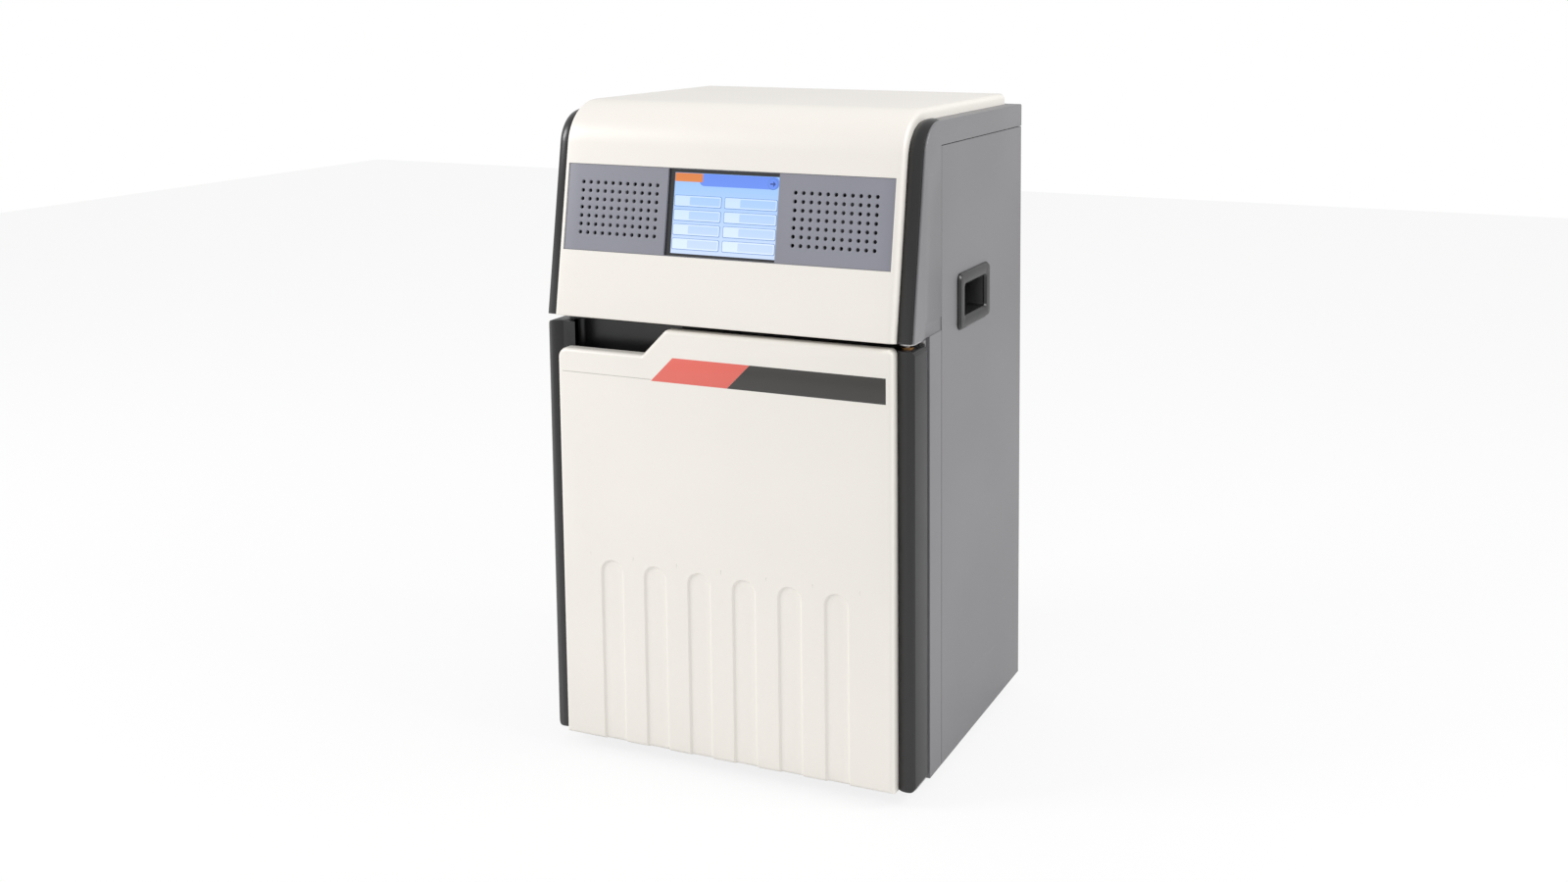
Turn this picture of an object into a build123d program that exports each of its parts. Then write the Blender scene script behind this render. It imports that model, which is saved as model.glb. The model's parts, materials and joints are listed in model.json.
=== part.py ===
from build123d import *
import os
from math import acos, atan, cos, pi, radians, sin, tan

os.makedirs("parts", exist_ok=True)

# Cabinet, in millimetres: X to the right, the front faces -Y, Z up from the floor
body_width = 560.0
body_depth = 440.6
foot_height = 18.0
lower_height = 612.0
hood_height = 282.0
cabinet_setback = 71.8
post_depth = 41.5
panel_drop = 32.5
sheet = 2.0
seam = 1.0
edge_return = 14.0

# Hood: white front and top cover over a black fascia and grey cheeks
hood_slope = 0.1636
hood_gap = 2.5
skin_margin = 23.0
skin_lip = 16.0
skin_wall = 3.5
skin_round = 8.0
skin_corner = 68.0
skin_rear_gap = 12.0
cheek_setback = 19.0
cheek_wall = 3.0
cheek_round = 2.0
fascia_wall = 3.0
fascia_end = 115.5
nose_rise = 3.0
step_line_height = 19.0
step_front = 53.8
step_depth = 1.0

# Display band with the two sound grilles
band_low = 92.3
band_height = 120.6
band_recess = 1.2
band_wall = 3.5
band_flange = 4.0
band_gap = 0.2
window_left = 89.0
window_right = 80.5
window_rim = 1.0
glass_border = 4.0
glass_wall = 1.8
grille_columns = 11
grille_rows = 7
grille_margin = 40.55
grille_pitch_z = 11.66
grille_hole = 5.2
grille_share = 0.4855
speaker_radius = 36.0
speaker_depth = 28.0
speaker_taper = 45.0
speaker_sides = 16

# Electronics on the shelf above the chamber
supply_depth = 115.0
supply_height = 50.0
supply_side = 47.5
supply_middle = 17.5
board_depth = 140.0
board_side = 60.0
board_middle = 20.0
electronics_y = 110.0
board_wall = 1.6
board_lift = 10.0
heatsink_size = 46.0
heatsink_fins = 7

# Door
door_bottom = 5.0
door_gap = 10.0
pan_front_setback = 20.8
pan_depth = 41.5
pan_wall = 3.0
pan_nose = 4.3
pan_corner = 7.0
nose_width = 24.0
grip_corner = 8.0
foam_gap = 0.5
door_skin_bottom = 4.5
door_skin_gap = 7.0
door_skin_margin = 24.5
door_skin_setback = 3.7
door_skin_wall = 4.0
door_skin_round = 6.0
notch_drop = 37.4
notch_inner = 119.0
notch_slope = 37.0
notch_corner = 14.0
notch_root = 4.0
top_corner = 8.5
grip_side = 35.0
grip_right = 75.0
grip_drop = 62.0
grip_depth = 28.0
flute_count = 6
flute_margin = 47.3
flute_width = 37.0
flute_top = 270.5
flute_depth = 2.3
flute_taper = 55.0
label_drop = 71.7
label_height = 34.6
label_left = 104.4
label_split = 13.8
label_side = 9.2
label_wall = 0.5
label_joint = 0.2
score_rise = 1.7
score_width = 1.0
score_side = 7.9
liner_wall = 4.0
gasket_width = 12.0
gasket_margin = 7.0
gasket_gap = 0.3
gasket_corner = 22.0

# Hinges, bushes and the magnetic catch
pivot_inset = 18.0
pivot_setback = 38.3
hinge_wall = 3.0
hinge_arm = 25.0
hinge_flange = 2.0
hinge_flange_height = 40.0
hinge_clear = 2.0
pin_radius = 4.0
pin_clear = 0.05
pin_head = 1.5
pin_reach = 15.0
bush_radius = 6.0
bush_flange = 8.5
bush_length = 14.0
bush_lip = 1.7
catch_height = 325.0
catch_length = 50.0
catch_width = 16.0
catch_edge = 10.0
strike_wall = 2.0

# Warm chamber and its air system
chamber_side = 65.0
chamber_ends = 76.0
chamber_lift = 19.0
chamber_depth = 248.5
liner_sheet = 1.5
foam = 15.0
duct_setback = 38.0
duct_gap = 10.0
duct_slot = 9.0
mat_side = 65.0
mat_wall = 3.0
chamber_fan_size = 120.0
exhaust_fan_size = 92.0
fan_depth = 25.0
fan_wall = 2.0
fan_tip_gap = 1.5
fan_blades = 7
hub_sides = 14
blade_root = 42.0
blade_tip = 42.0
blade_wall = 1.5
exhaust_rise = 148.0

# Rocking rack: eight by eight cells between crossed plates
cells = 8
rack_side_clear = 19.0
rack_end_clear = 34.0
plate = 1.5
slot_gap = 0.2
cell_depth = 75.0
rack_front = 73.5
rack_side = 3.0
rack_edge = 3.0
pivot_depth = 113.5
sensor_size = 14.0
sensor_height = 5.0
sensor_gap = 1.0
rack_corner = 10.0
cover_depth = 7.0
shaft_radius = 8.0
shaft_clear = 0.05
hub_radius = 22.0
hub_wall = 4.0
shaft_gap = 4.0
bearing_radius = 14.0
bearing_width = 11.0
boss_radius = 20.0
support_wall = 3.0
support_gap = 0.5
support_height = 400.0
support_foot = 18.0
support_depth = 136.0

# Rack drive: a stepping motor's pinion turns a toothed sector
gear_module = 1.5
root_depth = 1.25
flank_steps = 2
pressure_angle = 20.0
motor_lift = 49.0
sector_teeth = 25
pinion_teeth = 18
gear_width = 6.0
gear_gap = 2.0
backlash = 0.2
arm_windows = ((40.0, 128.0), (140.0, 238.0))
arm_rib = 9.0
motor_size = 42.3
motor_length = 40.0
motor_boss = 11.0
motor_shaft = 2.5
rock_limit = 10.0

# Rear panel and what it carries
inlet_side = 80.0
inlet_height = 90.0
inlet_flange_width = 48.0
inlet_flange_height = 28.0
inlet_width = 24.0
inlet_opening = 17.0
inlet_depth = 15.0
inlet_wall = 2.0
inlet_pin = 6.0
switch_side = 140.0
rocker_width = 13.0
rocker_half = 9.5
rocker_reach = 8.6
rocker_angle = 10.0
rocker_clear = 0.2
rocker_swing = 1.7
rocker_inset = 10.8
rocker_pin = 1.5
port_x = -60.0
port_pitch = 20.0
port_width = 12.0
port_height = 9.0
port_depth = 14.0
port_contact = 1.5
port_contacts = 5
vent_slots = 8
vent_width = 60.0
vent_height = 5.0
vent_pitch = 12.0
vent_side = 110.0
guard_rings = 4
guard_radius = 48.0
guard_wire = 2.0
guard_sides = 20

# Side pocket handles
handle_y = 11.5
handle_rise = 26.5
bezel_width = 121.0
bezel_height = 79.0
bezel_rise = 5.0
bezel_corner = 10.0
mouth_width = 83.0
mouth_height = 44.0
mouth_corner = 4.0
mouth_flare = 3.0
pocket_depth = 38.0
pocket_wall = 2.5
pocket_flange = 5.0

# Feet
foot_side = 75.0
foot_front = 56.0
foot_rear = 65.0
foot_radius = 20.0
foot_taper = 3.0
stud_radius = 4.0
nut_radius = 7.5
nut_height = 6.5

# Levels and places that follow
half = body_width / 2
side_height = lower_height + hood_height
panel_height = side_height - panel_drop
hood_lip_height = lower_height + hood_gap
skin_width = body_width - 2 * skin_margin
door_top = lower_height - door_gap
skin_edge = half - nose_width
door_skin_top = lower_height - door_skin_gap
door_skin_width = body_width - 2 * door_skin_margin
notch_height = door_skin_top - notch_drop
grip_left = half - grip_side
grip_bottom = door_top - grip_drop
flute_pitch = (door_skin_width - 2 * flute_margin) / flute_count
label_bottom = door_skin_top - label_drop
label_right = door_skin_width / 2 - label_side
score_height = label_bottom + score_rise
score_left = door_skin_width / 2 - score_side
chamber_width = body_width - 2 * chamber_side
chamber_height = lower_height - 2 * chamber_ends
chamber_centre = lower_height / 2 + chamber_lift
mat_size = chamber_width - 2 * mat_side
exhaust_height = lower_height + exhaust_rise
cell_pitch = (chamber_width - 2 * rack_side_clear) / cells
cell_rise = (chamber_height - 2 * rack_end_clear) / cells
handle_height = lower_height + handle_rise
foot_x = half - foot_side
inlet_x = inlet_side - half
switch_x = switch_side - half
vent_x = half - vent_side
front = -body_depth / 2
rear = body_depth / 2
deck = foot_height
waist = deck + lower_height
shoulder = deck + side_height
crown = shoulder + skin_lip
cabinet_front = front + cabinet_setback
post_rear = cabinet_front + post_depth
skin_bottom = deck + hood_lip_height
skin_half = skin_width / 2
lean = atan(hood_slope)
pan_front = front + pan_front_setback
pan_rear = pan_front + pan_depth
door_face = front + door_skin_setback
pivot_x = half - pivot_inset
pivot_y = front + pivot_setback
rack_z = deck + chamber_centre
sector_whole_teeth = round(2 * (rack_z - deck - motor_lift) / gear_module) - pinion_teeth
rack_y = cabinet_front + pivot_depth
liner_rear = cabinet_front + chamber_depth
duct_y = liner_rear - duct_setback
support_x = chamber_width / 2 + liner_sheet + foam + support_gap
shelf_top = waist - 2 * sheet
panel_face = rear - sheet
panel_back = rear - 2 * sheet
handle_z = deck + handle_height


def facing(y):
    """A plane that faces the front at depth y; its own axes are X and Z."""
    return Plane.XZ.offset(-y)


def slab(low, high, mode=Mode.ADD):
    """A straight-sided block between two opposite corners."""
    middle = tuple((a + b) / 2 for a, b in zip(low, high))
    with Locations(middle):
        Box(*[b - a for a, b in zip(low, high)], mode=mode)


def front_line(inset, z):
    """Depth of the leaning front at height z, moved inwards by inset."""
    return front + (z - skin_bottom) * tan(lean) + inset / cos(lean)


def hood_path(inset, top_inset, bottom_z, rear_y):
    """The hood's side outline moved inwards: up the front, round the corner, along the top."""
    top_z = crown - top_inset
    return FilletPolyline(
        (front_line(inset, bottom_z), bottom_z),
        (front_line(inset, top_z), top_z),
        (rear_y, top_z),
        radius=skin_corner - inset,
    )


def hood_strip(near, far, bottom_z, rear_y, width, mode=Mode.ADD):
    """A bent plate that follows the hood's outline between two insets."""
    with BuildSketch(Plane.YZ.offset(-width / 2)) as strip:
        with BuildLine():
            outer = hood_path(near, near, bottom_z, rear_y)
            inner = hood_path(far, far, bottom_z, rear_y)
            Line(outer @ 0, inner @ 0)
            Line(outer @ 1, inner @ 1)
        make_face()
    extrude(strip.sketch, amount=width, mode=mode)


def on_outline(edge, inset):
    """Whether an edge lies along the hood's side outline at this inset."""
    middle = edge @ 0.5
    if edge.geom_type == GeomType.CIRCLE:
        return abs(edge.radius - (skin_corner - inset)) < seam / 2
    along_front = abs(middle.Y - front_line(inset, middle.Z)) < seam / 2
    return along_front or abs(middle.Z - (crown - inset)) < seam / 2


hood_face = Plane(
    origin=(0, front, skin_bottom), x_dir=(1, 0, 0), z_dir=(0, -cos(lean), sin(lean))
)
band_middle = band_low + band_height / 2
window_width = window_left + window_right
window_x = (window_right - window_left) / 2
grille_room = skin_half - skin_round - window_width / 2
grille_pitch_x = (grille_room - grille_margin - grille_hole) / (grille_columns - 1)
grille_centre = window_width / 2 + grille_share * grille_room

# Base: folded tray, rubber feet and their studs
foot_rows = (cabinet_front + foot_front, rear - foot_rear)
foot_places = [(x, y) for x in (-foot_x, foot_x) for y in foot_rows]

with BuildPart() as base_tray:
    slab(
        (-half + sheet, post_rear, deck),
        (half - sheet, panel_back, deck + edge_return),
    )
    offset(amount=-sheet, openings=base_tray.faces().sort_by(Axis.Z)[-1])
    with BuildSketch(Plane.XY.offset(deck)):
        with Locations(*foot_places):
            RegularPolygon(stud_radius, 12)
    extrude(amount=sheet, mode=Mode.SUBTRACT)

with BuildPart() as feet:
    with Locations(*foot_places):
        Cone(
            foot_radius - foot_taper,
            foot_radius,
            foot_height,
            align=(Align.CENTER, Align.CENTER, Align.MIN),
        )

with BuildPart() as foot_studs:
    with BuildSketch(Plane.XY.offset(deck)):
        with Locations(*foot_places):
            RegularPolygon(stud_radius, 12)
    extrude(amount=sheet + nut_height)
    with BuildSketch(Plane.XY.offset(deck + sheet)):
        with Locations(*foot_places):
            RegularPolygon(nut_radius, 6)
    extrude(amount=nut_height)

# Front frame: pressed bulkhead that the door closes on, open to the warm chamber
opening_width = chamber_width + 2 * liner_sheet
opening_height = chamber_height + 2 * liner_sheet
with BuildPart() as front_frame:
    with BuildSketch(facing(cabinet_front)):
        with Locations((0, deck + lower_height / 2)):
            Rectangle(body_width, lower_height)
        with Locations((0, rack_z)):
            Rectangle(opening_width, opening_height, mode=Mode.SUBTRACT)
    extrude(amount=-post_depth)
    with BuildSketch(facing(post_rear)):
        with Locations((0, deck + lower_height / 2)):
            Rectangle(body_width - 2 * sheet, lower_height - 2 * sheet)
        with Locations((0, rack_z)):
            Rectangle(opening_width + 2 * sheet, opening_height + 2 * sheet, mode=Mode.SUBTRACT)
    extrude(amount=post_depth - sheet, mode=Mode.SUBTRACT)

# Side panels: folded sheets with a cut-out for the pocket handle
panel_front = post_rear + seam
panel_top = deck + panel_height - seam
with BuildPart() as side_panel_right:
    with BuildSketch(Plane.YZ.offset(half - sheet)):
        with Locations(((panel_front + rear) / 2, (deck + panel_top) / 2)):
            Rectangle(rear - panel_front, panel_top - deck)
        with Locations((handle_y, handle_z)):
            RectangleRounded(
                mouth_width + 2 * pocket_wall,
                mouth_height + 2 * pocket_wall,
                mouth_corner + pocket_wall,
                mode=Mode.SUBTRACT,
            )
    extrude(amount=sheet)
    slab((half - edge_return, panel_face, deck), (half, rear, panel_top))

with BuildPart() as side_panel_left:
    mirror(side_panel_right.part, about=Plane.YZ)

# Grey upper housing: two cheeks joined by the top plate
fascia_half = half - cheek_wall
fascia_rear = front + fascia_end
with BuildPart() as upper_housing:
    with BuildSketch(Plane.YZ.offset(-half)):
        with BuildLine():
            edge = hood_path(cheek_setback, skin_lip, waist, rear)
            Polyline(edge @ 1, (rear, waist), edge @ 0)
        make_face()
    extrude(amount=body_width)
    outline = [e for e in upper_housing.edges() if abs(abs((e @ 0.5).X) - half) < seam]
    fillet(
        [e for e in outline if on_outline(e, cheek_setback) or on_outline(e, skin_lip)],
        radius=cheek_round,
    )
    slab(
        (-fascia_half, front, waist),
        (fascia_half, rear, shoulder - cheek_wall),
        mode=Mode.SUBTRACT,
    )
    slab((-fascia_half, front, waist), (fascia_half, fascia_rear, crown), mode=Mode.SUBTRACT)
    slab((-half, post_rear, waist), (half, rear, deck + panel_height), mode=Mode.SUBTRACT)
    for side in (-half, half - step_depth):
        slab(
            (side, front + step_front, waist),
            (side + step_depth, post_rear, waist + step_line_height),
            mode=Mode.SUBTRACT,
        )

# Black fascia: bent moulding behind the white cover, with a crowned strip down each side
fascia_insets = (skin_lip, skin_lip + fascia_wall)
with BuildPart() as hood_fascia:
    hood_strip(*fascia_insets, waist, fascia_rear - seam, 2 * fascia_half)
    slab(
        (-fascia_half, front_line(fascia_insets[1], waist), waist),
        (fascia_half, cabinet_front, waist + fascia_wall),
    )
    with BuildLine(Plane.YZ) as rail:
        hood_path(skin_lip, skin_lip, waist, fascia_rear - seam)
    for side in (-1, 1):
        near, far = side * skin_half, side * fascia_half
        with BuildSketch(
            Plane(origin=rail.line @ 0, x_dir=(1, 0, 0), z_dir=rail.line % 0)
        ) as nose:
            with BuildLine():
                ThreePointArc((near, 0), ((near + far) / 2, -nose_rise), (far, 0))
                Line((far, 0), (near, 0))
            make_face()
        sweep(sections=nose.sketch, path=rail.line)
    with BuildSketch(hood_face.offset(-skin_lip + seam)):
        with Locations((window_x, band_middle)):
            Rectangle(window_width - 4 * glass_border, band_height - 4 * glass_border)
        with Locations((-grille_centre, band_middle), (grille_centre, band_middle)):
            Circle(speaker_radius)
    extrude(amount=-fascia_wall - 2 * seam, mode=Mode.SUBTRACT)

# White hood cover: hollow moulding with turned edges and a window for the band
skin_rear = rear - skin_rear_gap
with BuildPart() as hood_skin:
    hood_strip(0, skin_lip, skin_bottom, skin_rear, skin_width)
    outline = [e for e in hood_skin.edges() if abs(abs((e @ 0.5).X) - skin_half) < seam]
    fillet([e for e in outline if on_outline(e, 0)], radius=skin_round)
    hood_strip(
        skin_wall,
        skin_lip + seam,
        skin_bottom + skin_wall,
        skin_rear - skin_wall,
        skin_width - 2 * skin_wall,
        mode=Mode.SUBTRACT,
    )
    with BuildSketch(hood_face.offset(skin_wall)):
        with Locations((0, band_middle)):
            Rectangle(skin_width - 2 * skin_round, band_height)
    extrude(amount=-3 * skin_wall, mode=Mode.SUBTRACT)

# Grey display band: one plate with the screen window and two perforated grilles
band_width = skin_width - 2 * skin_round - 2 * band_gap
with BuildPart() as display_band:
    with BuildSketch(hood_face.offset(-band_recess)):
        with Locations((0, band_middle)):
            Rectangle(band_width, band_height - 2 * band_gap)
        with Locations((window_x, band_middle)):
            Rectangle(window_width, band_height - 2 * window_rim, mode=Mode.SUBTRACT)
        with Locations((-grille_centre, band_middle), (grille_centre, band_middle)):
            with GridLocations(grille_pitch_x, grille_pitch_z, grille_columns, grille_rows):
                RegularPolygon(grille_hole / 2, 6, mode=Mode.SUBTRACT)
    extrude(amount=-band_wall)
    with BuildSketch(hood_face.offset(-skin_wall)):
        with Locations((0, band_middle)):
            Rectangle(band_width + 2 * band_flange, band_height + 2 * band_flange)
            Rectangle(
                band_width - 2 * band_flange, band_height - 2 * band_flange, mode=Mode.SUBTRACT
            )
    extrude(amount=skin_wall - band_recess - band_wall)

glass_depth = band_recess + band_wall
glass_width = window_width + 2 * glass_border
with BuildPart() as touch_screen:
    with BuildSketch(hood_face.offset(-glass_depth)):
        with Locations((window_x, band_middle)):
            Rectangle(glass_width, band_height)
    extrude(amount=-glass_wall)

with BuildPart() as lcd_module:
    with BuildSketch(hood_face.offset(-glass_depth - glass_wall)):
        with Locations((window_x, band_middle)):
            Rectangle(glass_width - glass_border, band_height - glass_border)
    extrude(amount=glass_depth + glass_wall - skin_lip)

# Speakers: flange, tapered basket and magnet behind each grille
with BuildPart() as speakers:
    with BuildSketch(hood_face.offset(-glass_depth)):
        with Locations((-grille_centre, band_middle), (grille_centre, band_middle)):
            RegularPolygon(speaker_radius - seam, speaker_sides)
    extrude(amount=-sheet)
    with BuildSketch(hood_face.offset(-glass_depth - sheet)):
        with Locations((-grille_centre, band_middle), (grille_centre, band_middle)):
            RegularPolygon(speaker_radius - 2 * sheet, speaker_sides)
    extrude(amount=-speaker_depth / 2, taper=speaker_taper)
    with BuildSketch(hood_face.offset(-glass_depth - speaker_depth / 2)):
        with Locations((-grille_centre, band_middle), (grille_centre, band_middle)):
            RegularPolygon(speaker_radius / 2, speaker_sides)
    extrude(amount=-speaker_depth / 2)

# Shelf between the warm chamber and the electronics
with BuildPart() as divider_shelf:
    slab((-half + sheet, post_rear, shelf_top - sheet), (half - sheet, panel_back, shelf_top))

with BuildPart() as power_supply:
    slab(
        (supply_side - half, electronics_y - supply_depth / 2, shelf_top),
        (-supply_middle, electronics_y + supply_depth / 2, shelf_top + supply_height),
    )
    chamfer(power_supply.edges().filter_by(Axis.Z), length=sheet)

board_width = half - board_side - board_middle
board_place = (board_middle + board_width / 2, electronics_y)

with BuildPart() as control_board:
    with BuildSketch(Plane.XY.offset(shelf_top + board_lift)):
        with Locations(board_place):
            Rectangle(board_width, board_depth)
    extrude(amount=board_wall)
    with BuildSketch(Plane.XY.offset(shelf_top)):
        with Locations(board_place):
            with GridLocations(board_width - board_lift, board_depth - board_lift, 2, 2):
                RegularPolygon(board_lift / 3, 6)
    extrude(amount=board_lift)
    with BuildSketch(Plane.XY.offset(shelf_top + board_lift + board_wall)):
        with Locations(board_place):
            Rectangle(heatsink_size, heatsink_size)
    extrude(amount=sheet)
    with BuildSketch(Plane.XY.offset(shelf_top + board_lift + board_wall + sheet)):
        with Locations(board_place):
            with GridLocations(heatsink_size / heatsink_fins, 0, heatsink_fins, 1):
                Rectangle(sheet, heatsink_size)
    extrude(amount=board_lift)

# Warm chamber: liner, foam, heater mat and the air duct panel with its fan
side_bore = bearing_radius
with BuildPart() as chamber_liner:
    with BuildSketch(facing(cabinet_front)):
        with Locations((0, rack_z)):
            Rectangle(opening_width, opening_height)
    extrude(amount=-chamber_depth - liner_sheet)
    with BuildSketch(facing(cabinet_front)):
        with Locations((0, rack_z)):
            Rectangle(chamber_width, chamber_height)
    extrude(amount=-chamber_depth, mode=Mode.SUBTRACT)
    with BuildSketch(Plane.YZ):
        with Locations((rack_y, rack_z)):
            Circle(side_bore)
    extrude(amount=half, both=True, mode=Mode.SUBTRACT)

with BuildPart() as chamber_insulation:
    with BuildSketch(facing(post_rear)):
        with Locations((0, rack_z)):
            Rectangle(opening_width + 2 * foam, opening_height + 2 * foam)
    extrude(amount=post_rear - liner_rear - liner_sheet - foam)
    with BuildSketch(facing(post_rear)):
        with Locations((0, rack_z)):
            Rectangle(opening_width, opening_height)
    extrude(amount=post_rear - liner_rear - liner_sheet, mode=Mode.SUBTRACT)
    with BuildSketch(Plane.YZ):
        with Locations((rack_y, rack_z)):
            Circle(boss_radius + seam)
    extrude(amount=half, both=True, mode=Mode.SUBTRACT)

with BuildPart() as heater_mat:
    with BuildSketch(facing(liner_rear)):
        with Locations((0, rack_z)):
            Rectangle(mat_size, mat_size)
    extrude(amount=mat_wall)

duct_half = chamber_width / 2 - seam
with BuildPart() as air_duct_panel:
    slab(
        (-duct_half, duct_y, rack_z - chamber_height / 2 + duct_gap),
        (duct_half, duct_y + liner_sheet, rack_z + chamber_height / 2 - duct_gap),
    )
    for side in (-duct_half, duct_half - liner_sheet):
        slab(
            (side, duct_y, rack_z - chamber_height / 2 + duct_gap),
            (side + liner_sheet, liner_rear, rack_z + chamber_height / 2 - duct_gap),
        )
    with BuildSketch(facing(duct_y)):
        with Locations((0, rack_z)):
            with GridLocations(0, 2 * duct_slot, 1, 6):
                Rectangle(chamber_fan_size - 2 * duct_slot, duct_slot)
        with Locations((0, rack_z - chamber_height / 3), (0, rack_z + chamber_height / 3)):
            with GridLocations(chamber_width / 5, 0, 4, 1):
                Rectangle(chamber_width / 7, duct_slot)
    extrude(amount=-liner_sheet, mode=Mode.SUBTRACT)


def fan_frame(size, face_y, centre_z):
    """Square fan housing: round duct, a hub on four arms at the back and the hub's pin."""
    hub = size / 5
    with BuildPart() as housing:
        with BuildSketch(facing(face_y)):
            with Locations((0, centre_z)):
                Rectangle(size, size)
                Circle(size / 2 - fan_wall, mode=Mode.SUBTRACT)
        extrude(amount=-fan_depth)
        with BuildSketch(facing(face_y + fan_depth)):
            with Locations((0, centre_z)):
                RegularPolygon(hub, hub_sides)
                Rectangle(size - fan_wall, size / 20, rotation=45)
                Rectangle(size - fan_wall, size / 20, rotation=-45)
        extrude(amount=fan_wall)
        with BuildSketch(facing(face_y + fan_depth - fan_wall)):
            with Locations((0, centre_z)):
                Circle(fan_wall)
        extrude(amount=fan_depth / 2)
    return housing


def fan_rotor(size, face_y, centre_z):
    """Hub cup on a running bore with twisted blades whose tips clear the duct."""
    hub = size / 5
    tip = size / 2 - fan_wall - fan_tip_gap
    width = fan_depth - 3 * fan_wall - 2 * seam
    with BuildPart() as rotor:
        with BuildSketch(facing(face_y + seam)):
            with Locations((0, centre_z)):
                RegularPolygon(hub, hub_sides)
        extrude(amount=-width)
        middle_y = face_y + seam + width / 2
        for blade in range(fan_blades):
            turn = 2 * pi * blade / fan_blades
            out = Vector(cos(turn), 0, sin(turn))
            across = Vector(-sin(turn), 0, cos(turn))
            for radius, pitch in ((hub - 2 * fan_wall, blade_root), (tip, blade_tip)):
                along = across * cos(radians(pitch)) + Vector(0, sin(radians(pitch)), 0)
                centre = Vector(0, middle_y, centre_z) + out * radius
                with BuildSketch(Plane(origin=centre, x_dir=along, z_dir=out)):
                    Rectangle(width, blade_wall)
            loft(ruled=True)
        with BuildSketch(facing(face_y + seam + width)):
            with Locations((0, centre_z)):
                Circle(fan_wall + pin_clear)
        extrude(amount=fan_depth / 2, mode=Mode.SUBTRACT)
    return rotor


chamber_fan_frame = fan_frame(chamber_fan_size, duct_y + liner_sheet, rack_z)
chamber_fan_rotor = fan_rotor(chamber_fan_size, duct_y + liner_sheet, rack_z)

# Rack supports: steel plates with a welded boss for each bearing
motor_z = rack_z - gear_module * (sector_whole_teeth + pinion_teeth) / 2
with BuildPart() as rack_support_right:
    with BuildSketch(Plane.YZ.offset(support_x)):
        with Locations((rack_y, deck + sheet + support_height / 2)):
            Rectangle(support_depth, support_height)
        with Locations((rack_y, motor_z)):
            Circle(motor_boss + pin_clear, mode=Mode.SUBTRACT)
    extrude(amount=support_wall)
    slab(
        (support_x - support_foot, rack_y - support_depth / 2, deck + sheet),
        (support_x, rack_y + support_depth / 2, deck + sheet + support_wall),
    )
    with BuildSketch(Plane.YZ.offset(support_x + support_wall)):
        with Locations((rack_y, rack_z)):
            Circle(boss_radius)
    extrude(amount=-bearing_width - sheet)
    with BuildSketch(Plane.YZ.offset(support_x + support_wall)):
        with Locations((rack_y, rack_z)):
            Circle(bearing_radius)
    extrude(amount=-bearing_width - sheet, mode=Mode.SUBTRACT)

with BuildPart() as rack_support_left:
    mirror(rack_support_right.part, about=Plane.YZ)

bearing_x = support_x + support_wall - bearing_width
with BuildPart() as shaft_bearings:
    with BuildSketch(Plane.YZ.offset(bearing_x)):
        with Locations((rack_y, rack_z)):
            Circle(bearing_radius)
            Circle(shaft_radius + shaft_clear, mode=Mode.SUBTRACT)
    extrude(amount=bearing_width)
    mirror(about=Plane.YZ)

# Drive: motor inside the right support plate, pinion on its shaft outside
with BuildPart() as drive_motor:
    with BuildSketch(Plane.YZ.offset(support_x)):
        with Locations((rack_y, motor_z)):
            Rectangle(motor_size, motor_size)
    extrude(amount=-motor_length)
    chamfer(drive_motor.edges().filter_by(Axis.X), length=motor_size / 10)
    with BuildSketch(Plane.YZ.offset(support_x)):
        with Locations((rack_y, motor_z)):
            Circle(motor_boss)
    extrude(amount=sheet)
    with BuildSketch(Plane.YZ.offset(support_x + sheet)):
        with Locations((rack_y, motor_z)):
            Circle(motor_shaft + pin_clear)
    extrude(amount=-motor_length / 2, mode=Mode.SUBTRACT)


def tooth_points(teeth):
    """Outline of one involute tooth that points along +Y, from inside the root to the tip."""
    pitch_r = gear_module * teeth / 2
    base_r = pitch_r * cos(radians(pressure_angle))
    root_r = pitch_r - root_depth * gear_module
    tip_r = pitch_r + gear_module
    start_r = max(root_r, base_r)
    flat = tan(radians(pressure_angle)) - radians(pressure_angle)
    half_angle = pi / (2 * teeth) - backlash / (2 * pitch_r)
    flank = []
    for step in range(flank_steps + 1):
        radius = start_r + (tip_r - start_r) * step / flank_steps
        roll = acos(min(1.0, base_r / radius))
        angle = half_angle + flat - (tan(roll) - roll)
        flank.append((radius * sin(angle), radius * cos(angle)))
    flank.insert(0, (flank[0][0], root_r - gear_module / 4))
    return flank + [(-x, y) for x, y in reversed(flank)]


gear_x = support_x + support_wall + gear_gap
pinion_root = gear_module * (pinion_teeth / 2 - root_depth)
with BuildPart() as drive_pinion:
    with BuildSketch(Plane(origin=(gear_x, rack_y, motor_z), x_dir=(0, 1, 0), z_dir=(1, 0, 0))):
        Circle(pinion_root)
        with PolarLocations(0, pinion_teeth, 180 / pinion_teeth):
            Polygon(*tooth_points(pinion_teeth), align=None)
    extrude(amount=gear_width)
    with BuildSketch(Plane.YZ.offset(gear_x + gear_width)):
        with Locations((rack_y, motor_z)):
            Circle(motor_shaft)
    extrude(amount=support_x - motor_length / 3 - gear_x - gear_width)

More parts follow.
